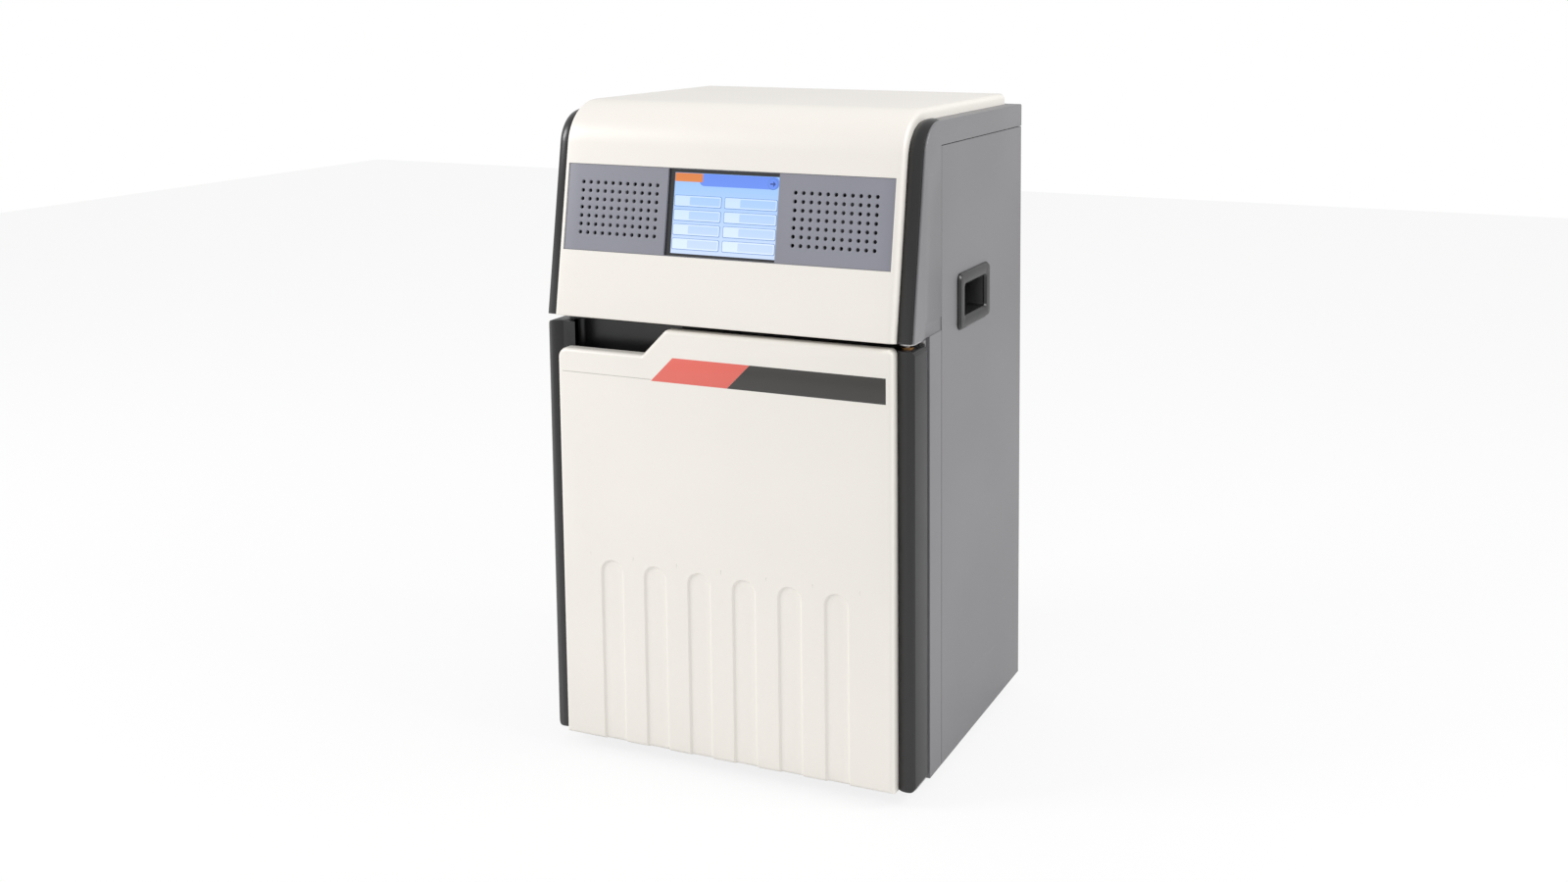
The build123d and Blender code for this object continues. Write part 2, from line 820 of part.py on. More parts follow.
# Toothed sector on the rack's right trunnion, hanging down to the pinion
pitch_angle = 360 / sector_whole_teeth
sector_root = gear_module * (sector_whole_teeth / 2 - root_depth)
sector_span = pitch_angle * sector_teeth
arm_flare = sin(radians(sector_span / 2)) - hub_radius / sector_root
with BuildPart() as sector_gear:
    with BuildSketch(Plane(origin=(gear_x, rack_y, rack_z), x_dir=(0, -1, 0), z_dir=(1, 0, 0))):
        with BuildLine():
            rim = CenterArc((0, 0), sector_root, 90 - sector_span / 2, sector_span)
            Polyline(rim @ 1, (-hub_radius, 0), (hub_radius, 0), rim @ 0)
        make_face()
        Circle(hub_radius)
        with PolarLocations(0, sector_teeth, (pitch_angle - sector_span) / 2, sector_span):
            Polygon(*tooth_points(sector_whole_teeth), align=None)
        Circle(shaft_radius, mode=Mode.SUBTRACT)
        for near, far in arm_windows:
            widths = [hub_radius - arm_rib + reach * arm_flare for reach in (near, far)]
            Polygon(
                (-widths[0], near),
                (widths[0], near),
                (widths[1], far),
                (-widths[1], far),
                align=None,
                mode=Mode.SUBTRACT,
            )
    extrude(amount=gear_width)

# Rocking rack: side plates, trunnions, crossed cell plates, sensor board and cover
rack_half = cells * cell_pitch / 2 + plate / 2
rack_top = cells * cell_rise / 2 + plate
cell_front = cabinet_front + rack_front
cell_rear = cell_front + cell_depth
board_front = cell_rear + sensor_gap + sensor_height
cover_rear = board_front + cover_depth
cell_middle = (cell_front + cell_rear) / 2
with BuildPart() as rack_side_plates:
    with BuildSketch(Plane.YZ.offset(rack_half)):
        with Locations(((cell_front - rack_edge + cover_rear) / 2, rack_z)):
            RectangleRounded(
                cover_rear - cell_front + rack_edge, 2 * (rack_top + rack_edge), rack_corner
            )
    extrude(amount=rack_side)
    mirror(about=Plane.YZ)

with BuildPart() as rack_trunnions:
    with BuildSketch(Plane.YZ.offset(rack_half + rack_side)):
        with Locations((rack_y, rack_z)):
            Circle(hub_radius)
    extrude(amount=hub_wall)
    mirror(about=Plane.YZ)
    with BuildSketch(Plane.YZ.offset(rack_half + rack_side)):
        with Locations((rack_y, rack_z)):
            Circle(shaft_radius)
    extrude(amount=gear_x + gear_width + shaft_gap - rack_half - rack_side)
    with BuildSketch(Plane.YZ.offset(-rack_half - rack_side)):
        with Locations((rack_y, rack_z)):
            Circle(shaft_radius)
    extrude(amount=rack_half + rack_side - support_x - support_wall - support_wall)

slot = plate + slot_gap
with BuildPart() as rack_shelves:
    with Locations((0, cell_middle, rack_z)):
        with GridLocations(0, 0, 1, 1):
            for level in range(cells + 1):
                with Locations((0, 0, (level - cells / 2) * cell_rise)):
                    Box(2 * rack_half, cell_depth, plate)
    with BuildSketch(Plane.XY.offset(rack_z + (1 - cells / 2) * cell_rise - plate)):
        with Locations((0, cell_front + cell_depth / 4)):
            with GridLocations(cell_pitch, 0, cells - 1, 1):
                Rectangle(slot, cell_depth / 2 + slot_gap)
    extrude(amount=(cells - 2) * cell_rise + 2 * plate, mode=Mode.SUBTRACT)

with BuildPart() as rack_dividers:
    with Locations((0, cell_middle, rack_z)):
        with GridLocations(cell_pitch, 0, cells - 1, 1):
            Box(plate, cell_depth, 2 * rack_top - 3 * plate)
    with BuildSketch(Plane.YZ.offset(-cells * cell_pitch / 2)):
        with Locations((cell_rear - cell_depth / 4, rack_z)):
            with GridLocations(0, cell_rise, 1, cells - 1):
                Rectangle(cell_depth / 2 + slot_gap, slot)
    extrude(amount=cells * cell_pitch, mode=Mode.SUBTRACT)

with BuildPart() as sensor_board:
    slab(
        (-rack_half, board_front, rack_z - rack_top),
        (rack_half, board_front + board_wall, rack_z + rack_top),
    )

with BuildPart() as cell_sensors:
    with BuildSketch(facing(board_front)):
        with Locations((0, rack_z)):
            with GridLocations(cell_pitch, cell_rise, cells, cells):
                Rectangle(sensor_size, sensor_size)
    extrude(amount=sensor_height)

with BuildPart() as rack_back_cover:
    slab(
        (-rack_half, board_front + board_wall, rack_z - rack_top),
        (rack_half, cover_rear, rack_z + rack_top),
    )
    offset(amount=-plate, openings=rack_back_cover.faces().sort_by(Axis.Y)[0])

# Rear panel with its vents, exhaust fan and sockets
exhaust_z = deck + exhaust_height
inlet_z = deck + inlet_height
inlet_body = (inlet_width + 2 * inlet_wall, inlet_opening + 2 * inlet_wall)
rocker_slot = (rocker_width + 2 * rocker_clear, 2 * (rocker_half + rocker_swing))
switch_body = (rocker_slot[0] + 2 * inlet_wall, rocker_slot[1] + 2 * inlet_wall)
port_body = (port_width + 2 * inlet_wall, port_height + 2 * inlet_wall)
port_places = [(port_x - port_pitch / 2, inlet_z), (port_x + port_pitch / 2, inlet_z)]
panel_top_rear = shoulder - cheek_wall
with BuildPart() as rear_panel:
    with BuildSketch(facing(panel_face)):
        with Locations((0, (deck + panel_top_rear) / 2)):
            Rectangle(2 * fascia_half - 2 * pin_clear, panel_top_rear - deck)
        with Locations((0, exhaust_z)):
            Circle(exhaust_fan_size / 2 - fan_wall, mode=Mode.SUBTRACT)
        with Locations((inlet_x, inlet_z)):
            Rectangle(*inlet_body, mode=Mode.SUBTRACT)
        with Locations((switch_x, inlet_z)):
            Rectangle(*switch_body, mode=Mode.SUBTRACT)
        with Locations(*port_places):
            Rectangle(*port_body, mode=Mode.SUBTRACT)
        with Locations((-vent_x, exhaust_z), (vent_x, exhaust_z)):
            with GridLocations(0, vent_pitch, 1, vent_slots):
                Rectangle(vent_width, vent_height, mode=Mode.SUBTRACT)
    extrude(amount=sheet)

exhaust_fan_frame = fan_frame(exhaust_fan_size, panel_back - fan_depth, exhaust_z)
exhaust_fan_rotor = fan_rotor(exhaust_fan_size, panel_back - fan_depth, exhaust_z)

with BuildPart() as fan_guard:
    with BuildSketch(facing(rear)):
        with Locations((0, exhaust_z)):
            for ring in range(1, guard_rings + 1):
                RegularPolygon(guard_radius * ring / guard_rings, guard_sides)
                RegularPolygon(
                    guard_radius * ring / guard_rings - guard_wire, guard_sides, mode=Mode.SUBTRACT
                )
            Rectangle(2 * guard_radius - guard_wire, guard_wire)
            Rectangle(guard_wire, 2 * guard_radius - guard_wire)
    extrude(amount=rear - panel_face)

with BuildPart() as power_inlet:
    with BuildSketch(facing(rear)):
        with Locations((inlet_x, inlet_z)):
            Rectangle(inlet_flange_width, inlet_flange_height)
    extrude(amount=sheet)
    with BuildSketch(facing(rear)):
        with Locations((inlet_x, inlet_z)):
            Rectangle(*inlet_body)
    extrude(amount=inlet_depth + inlet_wall)
    with BuildSketch(facing(rear)):
        with Locations((inlet_x, inlet_z)):
            Rectangle(inlet_width, inlet_opening)
    extrude(amount=inlet_depth, mode=Mode.SUBTRACT)
    with BuildSketch(facing(rear - inlet_depth)):
        with Locations((inlet_x, inlet_z)):
            with Locations((-inlet_pin, 0), (inlet_pin, 0), (0, inlet_pin / 2)):
                Rectangle(inlet_wall, 2 * inlet_wall)
    extrude(amount=-inlet_depth / 2)

# Rocker switch: frame with two bearing holes, rocker resting at one end of its travel
rocker_y = rear - rocker_inset
with BuildPart() as switch_bezel:
    with BuildSketch(facing(rear)):
        with Locations((switch_x, inlet_z)):
            Rectangle(switch_body[0] + 2 * inlet_wall, switch_body[1] + 2 * inlet_wall)
    extrude(amount=sheet)
    with BuildSketch(facing(rear)):
        with Locations((switch_x, inlet_z)):
            Rectangle(*switch_body)
    extrude(amount=inlet_depth)
    with BuildSketch(facing(rear)):
        with Locations((switch_x, inlet_z)):
            Rectangle(*rocker_slot)
    extrude(amount=inlet_depth, mode=Mode.SUBTRACT)
    with BuildSketch(Plane.YZ.offset(switch_x)):
        with Locations((rocker_y, inlet_z)):
            Circle(rocker_pin + pin_clear)
    extrude(amount=switch_body[0], both=True, mode=Mode.SUBTRACT)

with BuildPart() as power_rocker:
    with BuildSketch(
        Plane(origin=(switch_x, rocker_y, inlet_z), x_dir=(0, 1, 0), z_dir=(1, 0, 0))
    ):
        Polygon(
            (rocker_reach, rocker_half),
            (rocker_reach - sheet / 2, 0),
            (rocker_reach, -rocker_half),
            (0, -rocker_half + sheet),
            (-rocker_pin, 0),
            (0, rocker_half - sheet),
            rotation=-rocker_angle,
            align=None,
        )
    extrude(amount=rocker_width / 2, both=True)
    with BuildSketch(Plane.YZ.offset(switch_x)):
        with Locations((rocker_y, inlet_z)):
            Circle(rocker_pin)
    extrude(amount=switch_body[0] / 2, both=True)

with BuildPart() as data_ports:
    with BuildSketch(facing(rear)):
        with Locations(*port_places):
            Rectangle(*port_body)
    extrude(amount=port_depth + inlet_wall)
    with BuildSketch(facing(rear)):
        with Locations(*port_places):
            Rectangle(port_width, port_height)
    extrude(amount=port_depth, mode=Mode.SUBTRACT)
    with BuildSketch(facing(rear - port_depth)):
        with Locations(*port_places):
            with GridLocations(port_contact, 0, port_contacts, 1):
                Rectangle(port_contact / 2, port_contact)
    extrude(amount=-port_depth / 2)

# Side handles: raised frame outside, pocket cup inside
with BuildPart() as handle_bezel_right:
    with BuildSketch(Plane.YZ.offset(half)):
        with Locations((handle_y, handle_z)):
            RectangleRounded(bezel_width, bezel_height, bezel_corner)
            RectangleRounded(mouth_width, mouth_height, mouth_corner, mode=Mode.SUBTRACT)
    extrude(amount=bezel_rise)
    chamfer(handle_bezel_right.faces().sort_by(Axis.X)[-1].edges(), length=mouth_flare)

with BuildPart() as handle_bezel_left:
    mirror(handle_bezel_right.part, about=Plane.YZ)

with BuildPart() as handle_pocket_right:
    with BuildSketch(Plane.YZ.offset(half - sheet)):
        with Locations((handle_y, handle_z)):
            Rectangle(
                mouth_width + 2 * pocket_wall + 2 * pocket_flange,
                mouth_height + 2 * pocket_wall + 2 * pocket_flange,
            )
    extrude(amount=-sheet)
    with BuildSketch(Plane.YZ.offset(half)):
        with Locations((handle_y, handle_z)):
            RectangleRounded(
                mouth_width + 2 * pocket_wall,
                mouth_height + 2 * pocket_wall,
                mouth_corner + pocket_wall,
            )
    extrude(amount=-pocket_depth - pocket_wall)
    with BuildSketch(Plane.YZ.offset(half)):
        with Locations((handle_y, handle_z)):
            RectangleRounded(mouth_width, mouth_height, mouth_corner)
    extrude(amount=-pocket_depth, mode=Mode.SUBTRACT)

with BuildPart() as handle_pocket_left:
    mirror(handle_pocket_right.part, about=Plane.YZ)

# Hinges: two arms from the cabinet, pins fixed in them, bushes pressed in the door
arm_top = deck + door_skin_top + hinge_clear
arm_levels = (deck, arm_top)
flange_levels = (deck, arm_top + hinge_wall - hinge_flange_height)
with BuildPart() as hinge_plates:
    for arm_level, flange_level in zip(arm_levels, flange_levels):
        slab(
            (pivot_x - hinge_arm / 2, cabinet_front - hinge_flange, flange_level),
            (pivot_x + hinge_arm / 2, cabinet_front, flange_level + hinge_flange_height),
        )
        with BuildSketch(Plane.XY.offset(arm_level)):
            with Locations((pivot_x, (pivot_y + cabinet_front) / 2)):
                Rectangle(hinge_arm, cabinet_front - pivot_y)
            with Locations((pivot_x, pivot_y)):
                Circle(hinge_arm / 2)
                Circle(pin_radius, mode=Mode.SUBTRACT)
        extrude(amount=hinge_wall)

bush_levels = (deck + door_bottom, deck + door_top)
with BuildPart() as hinge_pins:
    for level, way in ((deck, 1), (arm_top + hinge_wall, -1)):
        with BuildSketch(Plane.XY.offset(level)):
            with Locations((pivot_x, pivot_y)):
                Circle(pin_radius)
        extrude(amount=way * (hinge_wall + pin_reach))
        with BuildSketch(Plane.XY.offset(level)):
            with Locations((pivot_x, pivot_y)):
                RegularPolygon(bush_radius, 6)
        extrude(amount=-way * pin_head)

with BuildPart() as hinge_bushes:
    for level, way in zip(bush_levels, (1, -1)):
        with BuildSketch(Plane.XY.offset(level)):
            with Locations((pivot_x, pivot_y)):
                Circle(bush_radius)
        extrude(amount=way * bush_length)
        with BuildSketch(Plane.XY.offset(level)):
            with Locations((pivot_x, pivot_y)):
                Circle(bush_flange)
        extrude(amount=-way * bush_lip)
    with BuildSketch(Plane.XY):
        with Locations((pivot_x, pivot_y)):
            Circle(pin_radius + pin_clear)
    extrude(amount=crown, mode=Mode.SUBTRACT)

# Magnetic catch on the cabinet and its strike plate on the door
catch_x = half - catch_edge - catch_width / 2
strike_face = pan_rear + strike_wall
with BuildPart() as catch_magnet:
    with Locations((-catch_x, (strike_face + gasket_gap + cabinet_front) / 2, deck + catch_height)):
        Box(catch_width, cabinet_front - strike_face - gasket_gap, catch_length)

with BuildPart() as strike_plate:
    with Locations((-catch_x, pan_rear + strike_wall / 2, deck + catch_height)):
        Box(catch_width, strike_wall, catch_length)

# Door pan: black moulding with crowned edges, the grip pocket and the bush bosses
nose_middle = (skin_edge + half) / 2
pan_low = deck + door_bottom
pan_high = deck + door_top
grip_rear = pan_front + grip_depth - sheet / 2
grip_low = deck + grip_bottom
with BuildPart() as door_pan:
    with BuildSketch(Plane.XY.offset(pan_low)):
        with BuildLine():
            Polyline((-half, pan_front), (-half, pan_rear), (half, pan_rear), (half, pan_front))
            ThreePointArc((half, pan_front), (nose_middle, pan_front - pan_nose), (skin_edge, pan_front))
            Line((skin_edge, pan_front), (-skin_edge, pan_front))
            ThreePointArc((-skin_edge, pan_front), (-nose_middle, pan_front - pan_nose), (-half, pan_front))
        make_face()
    extrude(amount=pan_high - pan_low)
    fillet(
        [e for e in door_pan.edges().filter_by(Axis.Y) if abs(abs((e @ 0.5).X) - half) < seam],
        radius=pan_corner,
    )
    slab(
        (-half + pan_wall, pan_front + pan_wall, pan_low + pan_wall),
        (half - pan_wall, pan_rear, pan_high - pan_wall),
        mode=Mode.SUBTRACT,
    )
    slab(
        (-grip_left - pan_wall, pan_front, grip_low - pan_wall),
        (-grip_right + pan_wall, grip_rear + pan_wall, pan_high),
    )
    with BuildSketch(Plane.XY.offset(pan_high)):
        with Locations((-(grip_left + grip_right) / 2, grip_rear)):
            RectangleRounded(
                grip_left - grip_right, 2 * (grip_rear - pan_front), grip_corner
            )
    extrude(amount=grip_low - pan_high, mode=Mode.SUBTRACT)
    for level, way in zip(bush_levels, (1, -1)):
        with BuildSketch(Plane.XY.offset(level)):
            with Locations((pivot_x, pivot_y)):
                Circle(bush_radius + pan_wall)
        extrude(amount=way * (bush_length + pan_wall))
        with BuildSketch(Plane.XY.offset(level)):
            with Locations((pivot_x, pivot_y)):
                Circle(bush_radius)
        extrude(amount=way * (bush_length + pan_wall), mode=Mode.SUBTRACT)

# Door inside: flat liner, foam and the soft gasket round the chamber opening
pan_middle = (pan_low + pan_high) / 2
liner_half = half - pan_wall - foam_gap
liner_height = pan_high - pan_low - 2 * (pan_wall + foam_gap)
with BuildPart() as door_liner:
    with BuildSketch(facing(pan_rear)):
        with Locations((0, pan_middle)):
            Rectangle(2 * liner_half, liner_height)
    extrude(amount=liner_wall)

with BuildPart() as door_insulation:
    with BuildSketch(facing(pan_rear - liner_wall)):
        with Locations((0, pan_middle)):
            Rectangle(2 * liner_half, liner_height)
    extrude(amount=pan_rear - liner_wall - pan_front - pan_wall)
    slab(
        (-grip_left - pan_wall - foam_gap, pan_front, grip_low - pan_wall - foam_gap),
        (-grip_right + pan_wall + foam_gap, grip_rear + pan_wall + foam_gap, pan_high),
        mode=Mode.SUBTRACT,
    )
    for level, way in zip(bush_levels, (1, -1)):
        slab(
            (pivot_x - bush_flange - pan_wall, pan_front, min(level, level + way * 2 * bush_length)),
            (half, pan_rear, max(level, level + way * 2 * bush_length)),
            mode=Mode.SUBTRACT,
        )

with BuildPart() as door_gasket:
    with BuildSketch(facing(pan_rear)):
        with Locations((0, rack_z)):
            RectangleRounded(
                opening_width + 2 * (gasket_width + gasket_margin) - 2,
                opening_height + 2 * (gasket_width + gasket_margin) - 2,
                gasket_corner,
            )
            RectangleRounded(
                opening_width + 2 * gasket_margin - 2,
                opening_height + 2 * gasket_margin - 2,
                gasket_corner - gasket_width,
                mode=Mode.SUBTRACT,
            )
    extrude(amount=pan_rear - cabinet_front + gasket_gap)

# White door skin: notched, fluted moulding with two label recesses
skin_low = deck + door_skin_bottom
skin_high = deck + door_skin_top
notch_z = deck + notch_height
door_skin_half = door_skin_width / 2
notch_top = -notch_inner + notch_slope


def skin_outline(y, inset):
    """The door skin's outline at depth y with its finger notch, moved inwards by inset."""
    with BuildSketch(facing(y)) as outline:
        Polygon(
            (-door_skin_half, skin_low),
            (door_skin_half, skin_low),
            (door_skin_half, skin_high),
            (notch_top, skin_high),
            (-notch_inner, notch_z),
            (-door_skin_half, notch_z),
            align=None,
        )
        tops = [v for v in outline.vertices() if v.Y > notch_z + seam]
        ends = [v for v in outline.vertices() if abs(v.Y - notch_z) < seam]
        fillet(tops, radius=top_corner)
        fillet([v for v in ends if v.X < -notch_inner - seam], radius=notch_corner)
        fillet([v for v in ends if v.X > -notch_inner - seam], radius=notch_root)
        if inset:
            offset(amount=-inset, mode=Mode.REPLACE)
    return outline.sketch


def label_outline(left, right, slant):
    """A label's outline: slanted left end, right end slanted as well for the first one."""
    low = deck + label_bottom
    high = low + label_height
    return Polygon(
        (left, low), (right, low), (right + slant, high), (left + label_height, high), align=None
    )


label_spans = (
    (-label_left, label_split - label_joint, label_height),
    (label_split, label_right, 0),
)
with BuildPart() as door_skin:
    extrude(skin_outline(door_face, 0), amount=door_face - pan_front)
    face_edges = door_skin.edges().filter_by(lambda e: abs((e @ 0.5).Y - door_face) < seam / 2)
    fillet(face_edges, radius=door_skin_round)
    inner_face = door_face + door_skin_wall
    extrude(
        skin_outline(inner_face, door_skin_wall),
        amount=inner_face - pan_front,
        mode=Mode.SUBTRACT,
    )
    with BuildSketch(facing(door_face)):
        with Locations((0, deck + flute_top - flute_width / 2)):
            with GridLocations(flute_pitch, 0, flute_count, 1):
                Circle(flute_width / 2)
        with Locations((0, deck + (flute_top - flute_width / 2) / 2)):
            with GridLocations(flute_pitch, 0, flute_count, 1):
                Rectangle(flute_width, flute_top - flute_width / 2)
    extrude(amount=-flute_depth, taper=flute_taper, mode=Mode.SUBTRACT)
    with BuildSketch(facing(door_face)):
        for span in label_spans:
            label_outline(*span)
        with Locations((-(label_left + score_left) / 2, deck + score_height)):
            Rectangle(score_left - label_left, score_width)
    extrude(amount=-label_wall, mode=Mode.SUBTRACT)

with BuildPart() as label_red:
    with BuildSketch(facing(door_face)):
        label_outline(*label_spans[0])
    extrude(amount=-label_wall)

with BuildPart() as label_black:
    with BuildSketch(facing(door_face)):
        label_outline(*label_spans[1])
    extrude(amount=-label_wall)

# Write every piece
base_tray.part.label = "base_tray"
export_step(base_tray.part, "parts/base_tray.step")
feet.part.label = "feet"
export_step(feet.part, "parts/feet.step")
foot_studs.part.label = "foot_studs"
export_step(foot_studs.part, "parts/foot_studs.step")
front_frame.part.label = "front_frame"
export_step(front_frame.part, "parts/front_frame.step")
side_panel_right.part.label = "side_panel_right"
export_step(side_panel_right.part, "parts/side_panel_right.step")
side_panel_left.part.label = "side_panel_left"
export_step(side_panel_left.part, "parts/side_panel_left.step")
upper_housing.part.label = "upper_housing"
export_step(upper_housing.part, "parts/upper_housing.step")
hood_fascia.part.label = "hood_fascia"
export_step(hood_fascia.part, "parts/hood_fascia.step")
hood_skin.part.label = "hood_skin"
export_step(hood_skin.part, "parts/hood_skin.step")
display_band.part.label = "display_band"
export_step(display_band.part, "parts/display_band.step")
touch_screen.part.label = "touch_screen"
export_step(touch_screen.part, "parts/touch_screen.step")
lcd_module.part.label = "lcd_module"
export_step(lcd_module.part, "parts/lcd_module.step")
speakers.part.label = "speakers"
export_step(speakers.part, "parts/speakers.step")
divider_shelf.part.label = "divider_shelf"
export_step(divider_shelf.part, "parts/divider_shelf.step")
control_board.part.label = "control_board"
export_step(control_board.part, "parts/control_board.step")
power_supply.part.label = "power_supply"
export_step(power_supply.part, "parts/power_supply.step")
chamber_liner.part.label = "chamber_liner"
export_step(chamber_liner.part, "parts/chamber_liner.step")
chamber_insulation.part.label = "chamber_insulation"
export_step(chamber_insulation.part, "parts/chamber_insulation.step")
heater_mat.part.label = "heater_mat"
export_step(heater_mat.part, "parts/heater_mat.step")
air_duct_panel.part.label = "air_duct_panel"
export_step(air_duct_panel.part, "parts/air_duct_panel.step")
chamber_fan_frame.part.label = "chamber_fan_frame"
export_step(chamber_fan_frame.part, "parts/chamber_fan_frame.step")
rack_support_right.part.label = "rack_support_right"
export_step(rack_support_right.part, "parts/rack_support_right.step")
rack_support_left.part.label = "rack_support_left"
export_step(rack_support_left.part, "parts/rack_support_left.step")
shaft_bearings.part.label = "shaft_bearings"
export_step(shaft_bearings.part, "parts/shaft_bearings.step")
drive_motor.part.label = "drive_motor"
export_step(drive_motor.part, "parts/drive_motor.step")
rear_panel.part.label = "rear_panel"
export_step(rear_panel.part, "parts/rear_panel.step")
exhaust_fan_frame.part.label = "exhaust_fan_frame"
export_step(exhaust_fan_frame.part, "parts/exhaust_fan_frame.step")
fan_guard.part.label = "fan_guard"
export_step(fan_guard.part, "parts/fan_guard.step")
power_inlet.part.label = "power_inlet"
export_step(power_inlet.part, "parts/power_inlet.step")
switch_bezel.part.label = "switch_bezel"
export_step(switch_bezel.part, "parts/switch_bezel.step")
data_ports.part.label = "data_ports"
export_step(data_ports.part, "parts/data_ports.step")
handle_bezel_right.part.label = "handle_bezel_right"
export_step(handle_bezel_right.part, "parts/handle_bezel_right.step")
handle_bezel_left.part.label = "handle_bezel_left"
export_step(handle_bezel_left.part, "parts/handle_bezel_left.step")
handle_pocket_right.part.label = "handle_pocket_right"
export_step(handle_pocket_right.part, "parts/handle_pocket_right.step")
handle_pocket_left.part.label = "handle_pocket_left"
export_step(handle_pocket_left.part, "parts/handle_pocket_left.step")
hinge_plates.part.label = "hinge_plates"
export_step(hinge_plates.part, "parts/hinge_plates.step")
hinge_pins.part.label = "hinge_pins"
export_step(hinge_pins.part, "parts/hinge_pins.step")
catch_magnet.part.label = "catch_magnet"
export_step(catch_magnet.part, "parts/catch_magnet.step")
door_pan.part.label = "door_pan"
export_step(door_pan.part, "parts/door_pan.step")
door_skin.part.label = "door_skin"
export_step(door_skin.part, "parts/door_skin.step")
label_red.part.label = "label_red"
export_step(label_red.part, "parts/label_red.step")
label_black.part.label = "label_black"
export_step(label_black.part, "parts/label_black.step")
door_liner.part.label = "door_liner"
export_step(door_liner.part, "parts/door_liner.step")
door_gasket.part.label = "door_gasket"
export_step(door_gasket.part, "parts/door_gasket.step")
door_insulation.part.label = "door_insulation"
export_step(door_insulation.part, "parts/door_insulation.step")
hinge_bushes.part.label = "hinge_bushes"
export_step(hinge_bushes.part, "parts/hinge_bushes.step")
strike_plate.part.label = "strike_plate"
export_step(strike_plate.part, "parts/strike_plate.step")
rack_side_plates.part.label = "rack_side_plates"
export_step(rack_side_plates.part, "parts/rack_side_plates.step")
rack_trunnions.part.label = "rack_trunnions"
export_step(rack_trunnions.part, "parts/rack_trunnions.step")
rack_shelves.part.label = "rack_shelves"
export_step(rack_shelves.part, "parts/rack_shelves.step")
rack_dividers.part.label = "rack_dividers"
export_step(rack_dividers.part, "parts/rack_dividers.step")
sensor_board.part.label = "sensor_board"
export_step(sensor_board.part, "parts/sensor_board.step")
cell_sensors.part.label = "cell_sensors"
export_step(cell_sensors.part, "parts/cell_sensors.step")
rack_back_cover.part.label = "rack_back_cover"
export_step(rack_back_cover.part, "parts/rack_back_cover.step")
sector_gear.part.label = "sector_gear"
export_step(sector_gear.part, "parts/sector_gear.step")
drive_pinion.part.label = "drive_pinion"
export_step(drive_pinion.part, "parts/drive_pinion.step")
chamber_fan_rotor.part.label = "chamber_fan_rotor"
export_step(chamber_fan_rotor.part, "parts/chamber_fan_rotor.step")
exhaust_fan_rotor.part.label = "exhaust_fan_rotor"
export_step(exhaust_fan_rotor.part, "parts/exhaust_fan_rotor.step")
power_rocker.part.label = "power_rocker"
export_step(power_rocker.part, "parts/power_rocker.step")
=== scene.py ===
import json
import math

import bmesh
import bpy
import numpy as np
from mathutils import Matrix, Vector

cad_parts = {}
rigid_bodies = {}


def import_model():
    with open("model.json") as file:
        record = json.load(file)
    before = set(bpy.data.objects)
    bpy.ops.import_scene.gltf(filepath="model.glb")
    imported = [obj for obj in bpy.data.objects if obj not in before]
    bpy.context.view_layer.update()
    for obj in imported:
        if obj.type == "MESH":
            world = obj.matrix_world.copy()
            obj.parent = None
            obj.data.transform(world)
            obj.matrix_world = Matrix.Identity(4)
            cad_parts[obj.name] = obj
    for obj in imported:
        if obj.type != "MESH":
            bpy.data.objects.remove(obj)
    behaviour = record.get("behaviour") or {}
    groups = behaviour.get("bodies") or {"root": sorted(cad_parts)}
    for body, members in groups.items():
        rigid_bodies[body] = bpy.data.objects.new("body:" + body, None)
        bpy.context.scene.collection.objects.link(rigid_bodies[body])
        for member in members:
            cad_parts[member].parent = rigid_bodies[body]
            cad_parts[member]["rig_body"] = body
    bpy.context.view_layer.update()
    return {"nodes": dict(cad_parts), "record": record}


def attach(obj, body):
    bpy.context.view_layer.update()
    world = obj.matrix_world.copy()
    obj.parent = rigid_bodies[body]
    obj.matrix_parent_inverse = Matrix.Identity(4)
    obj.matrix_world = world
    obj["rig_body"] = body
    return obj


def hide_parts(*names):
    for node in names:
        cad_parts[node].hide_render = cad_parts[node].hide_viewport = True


bl_info = {
    "name": "Culture cabinet looks",
    "version": (1, 0, 0),
    "blender": (4, 5, 0),
    "location": "View3D > Sidebar > Cabinet",
    "description": "Dresses the culture cabinet: mouldings, grille band, screen, paints, stage",
    "category": "Object",
}

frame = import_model()
MM = 0.001
WELD = 2e-6  # metres within which points are merged

# Hood, in millimetres, as in the solid model
FRONT = -220.3
HOOD_BOTTOM = 632.5
HOOD_CROWN = 928.0
HOOD_SLOPE = 0.1636
LEAN = math.atan(HOOD_SLOPE)
HOOD_CORNER = 68.0
HOOD_LIP = 16.0
HOOD_REAR = 208.3
HOOD_HALF = 257.0
HOOD_EDGE = 8.0
HOOD_FRONT_ROUND = 2.5
HOOD_REAR_ROUND = 1.5
HOOD_FLAT = 225.0  # half width that the cover's inner columns span
HOOD_MARKS = (3.0, 40.0)  # distances up the front that get a row
BAND_LOW = 92.3
BAND_HEIGHT = 120.6
BAND_DEPTH = 1.2
BAND_WALL = 3.5
BAND_OPENING = (0.0, -0.15, -3.45)  # rings of the cover's edge round the band, outwards
BAND_HALF = 248.8
BAND_GAP = 0.2
BAND_EDGE = 0.6
BAND_FRAME = 0.9
GLASS_DEPTH = 4.7
CLEAR = 0.02  # between a made piece and the solid behind it
WINDOW = (-89.0, 80.5)
GRILLE_X = 164.5
GRILLE_PITCH = (11.85, 11.66)
GRILLE_CELLS = (11, 7)
HOLE_RADIUS = 2.6
HOLE_RIM = 0.95

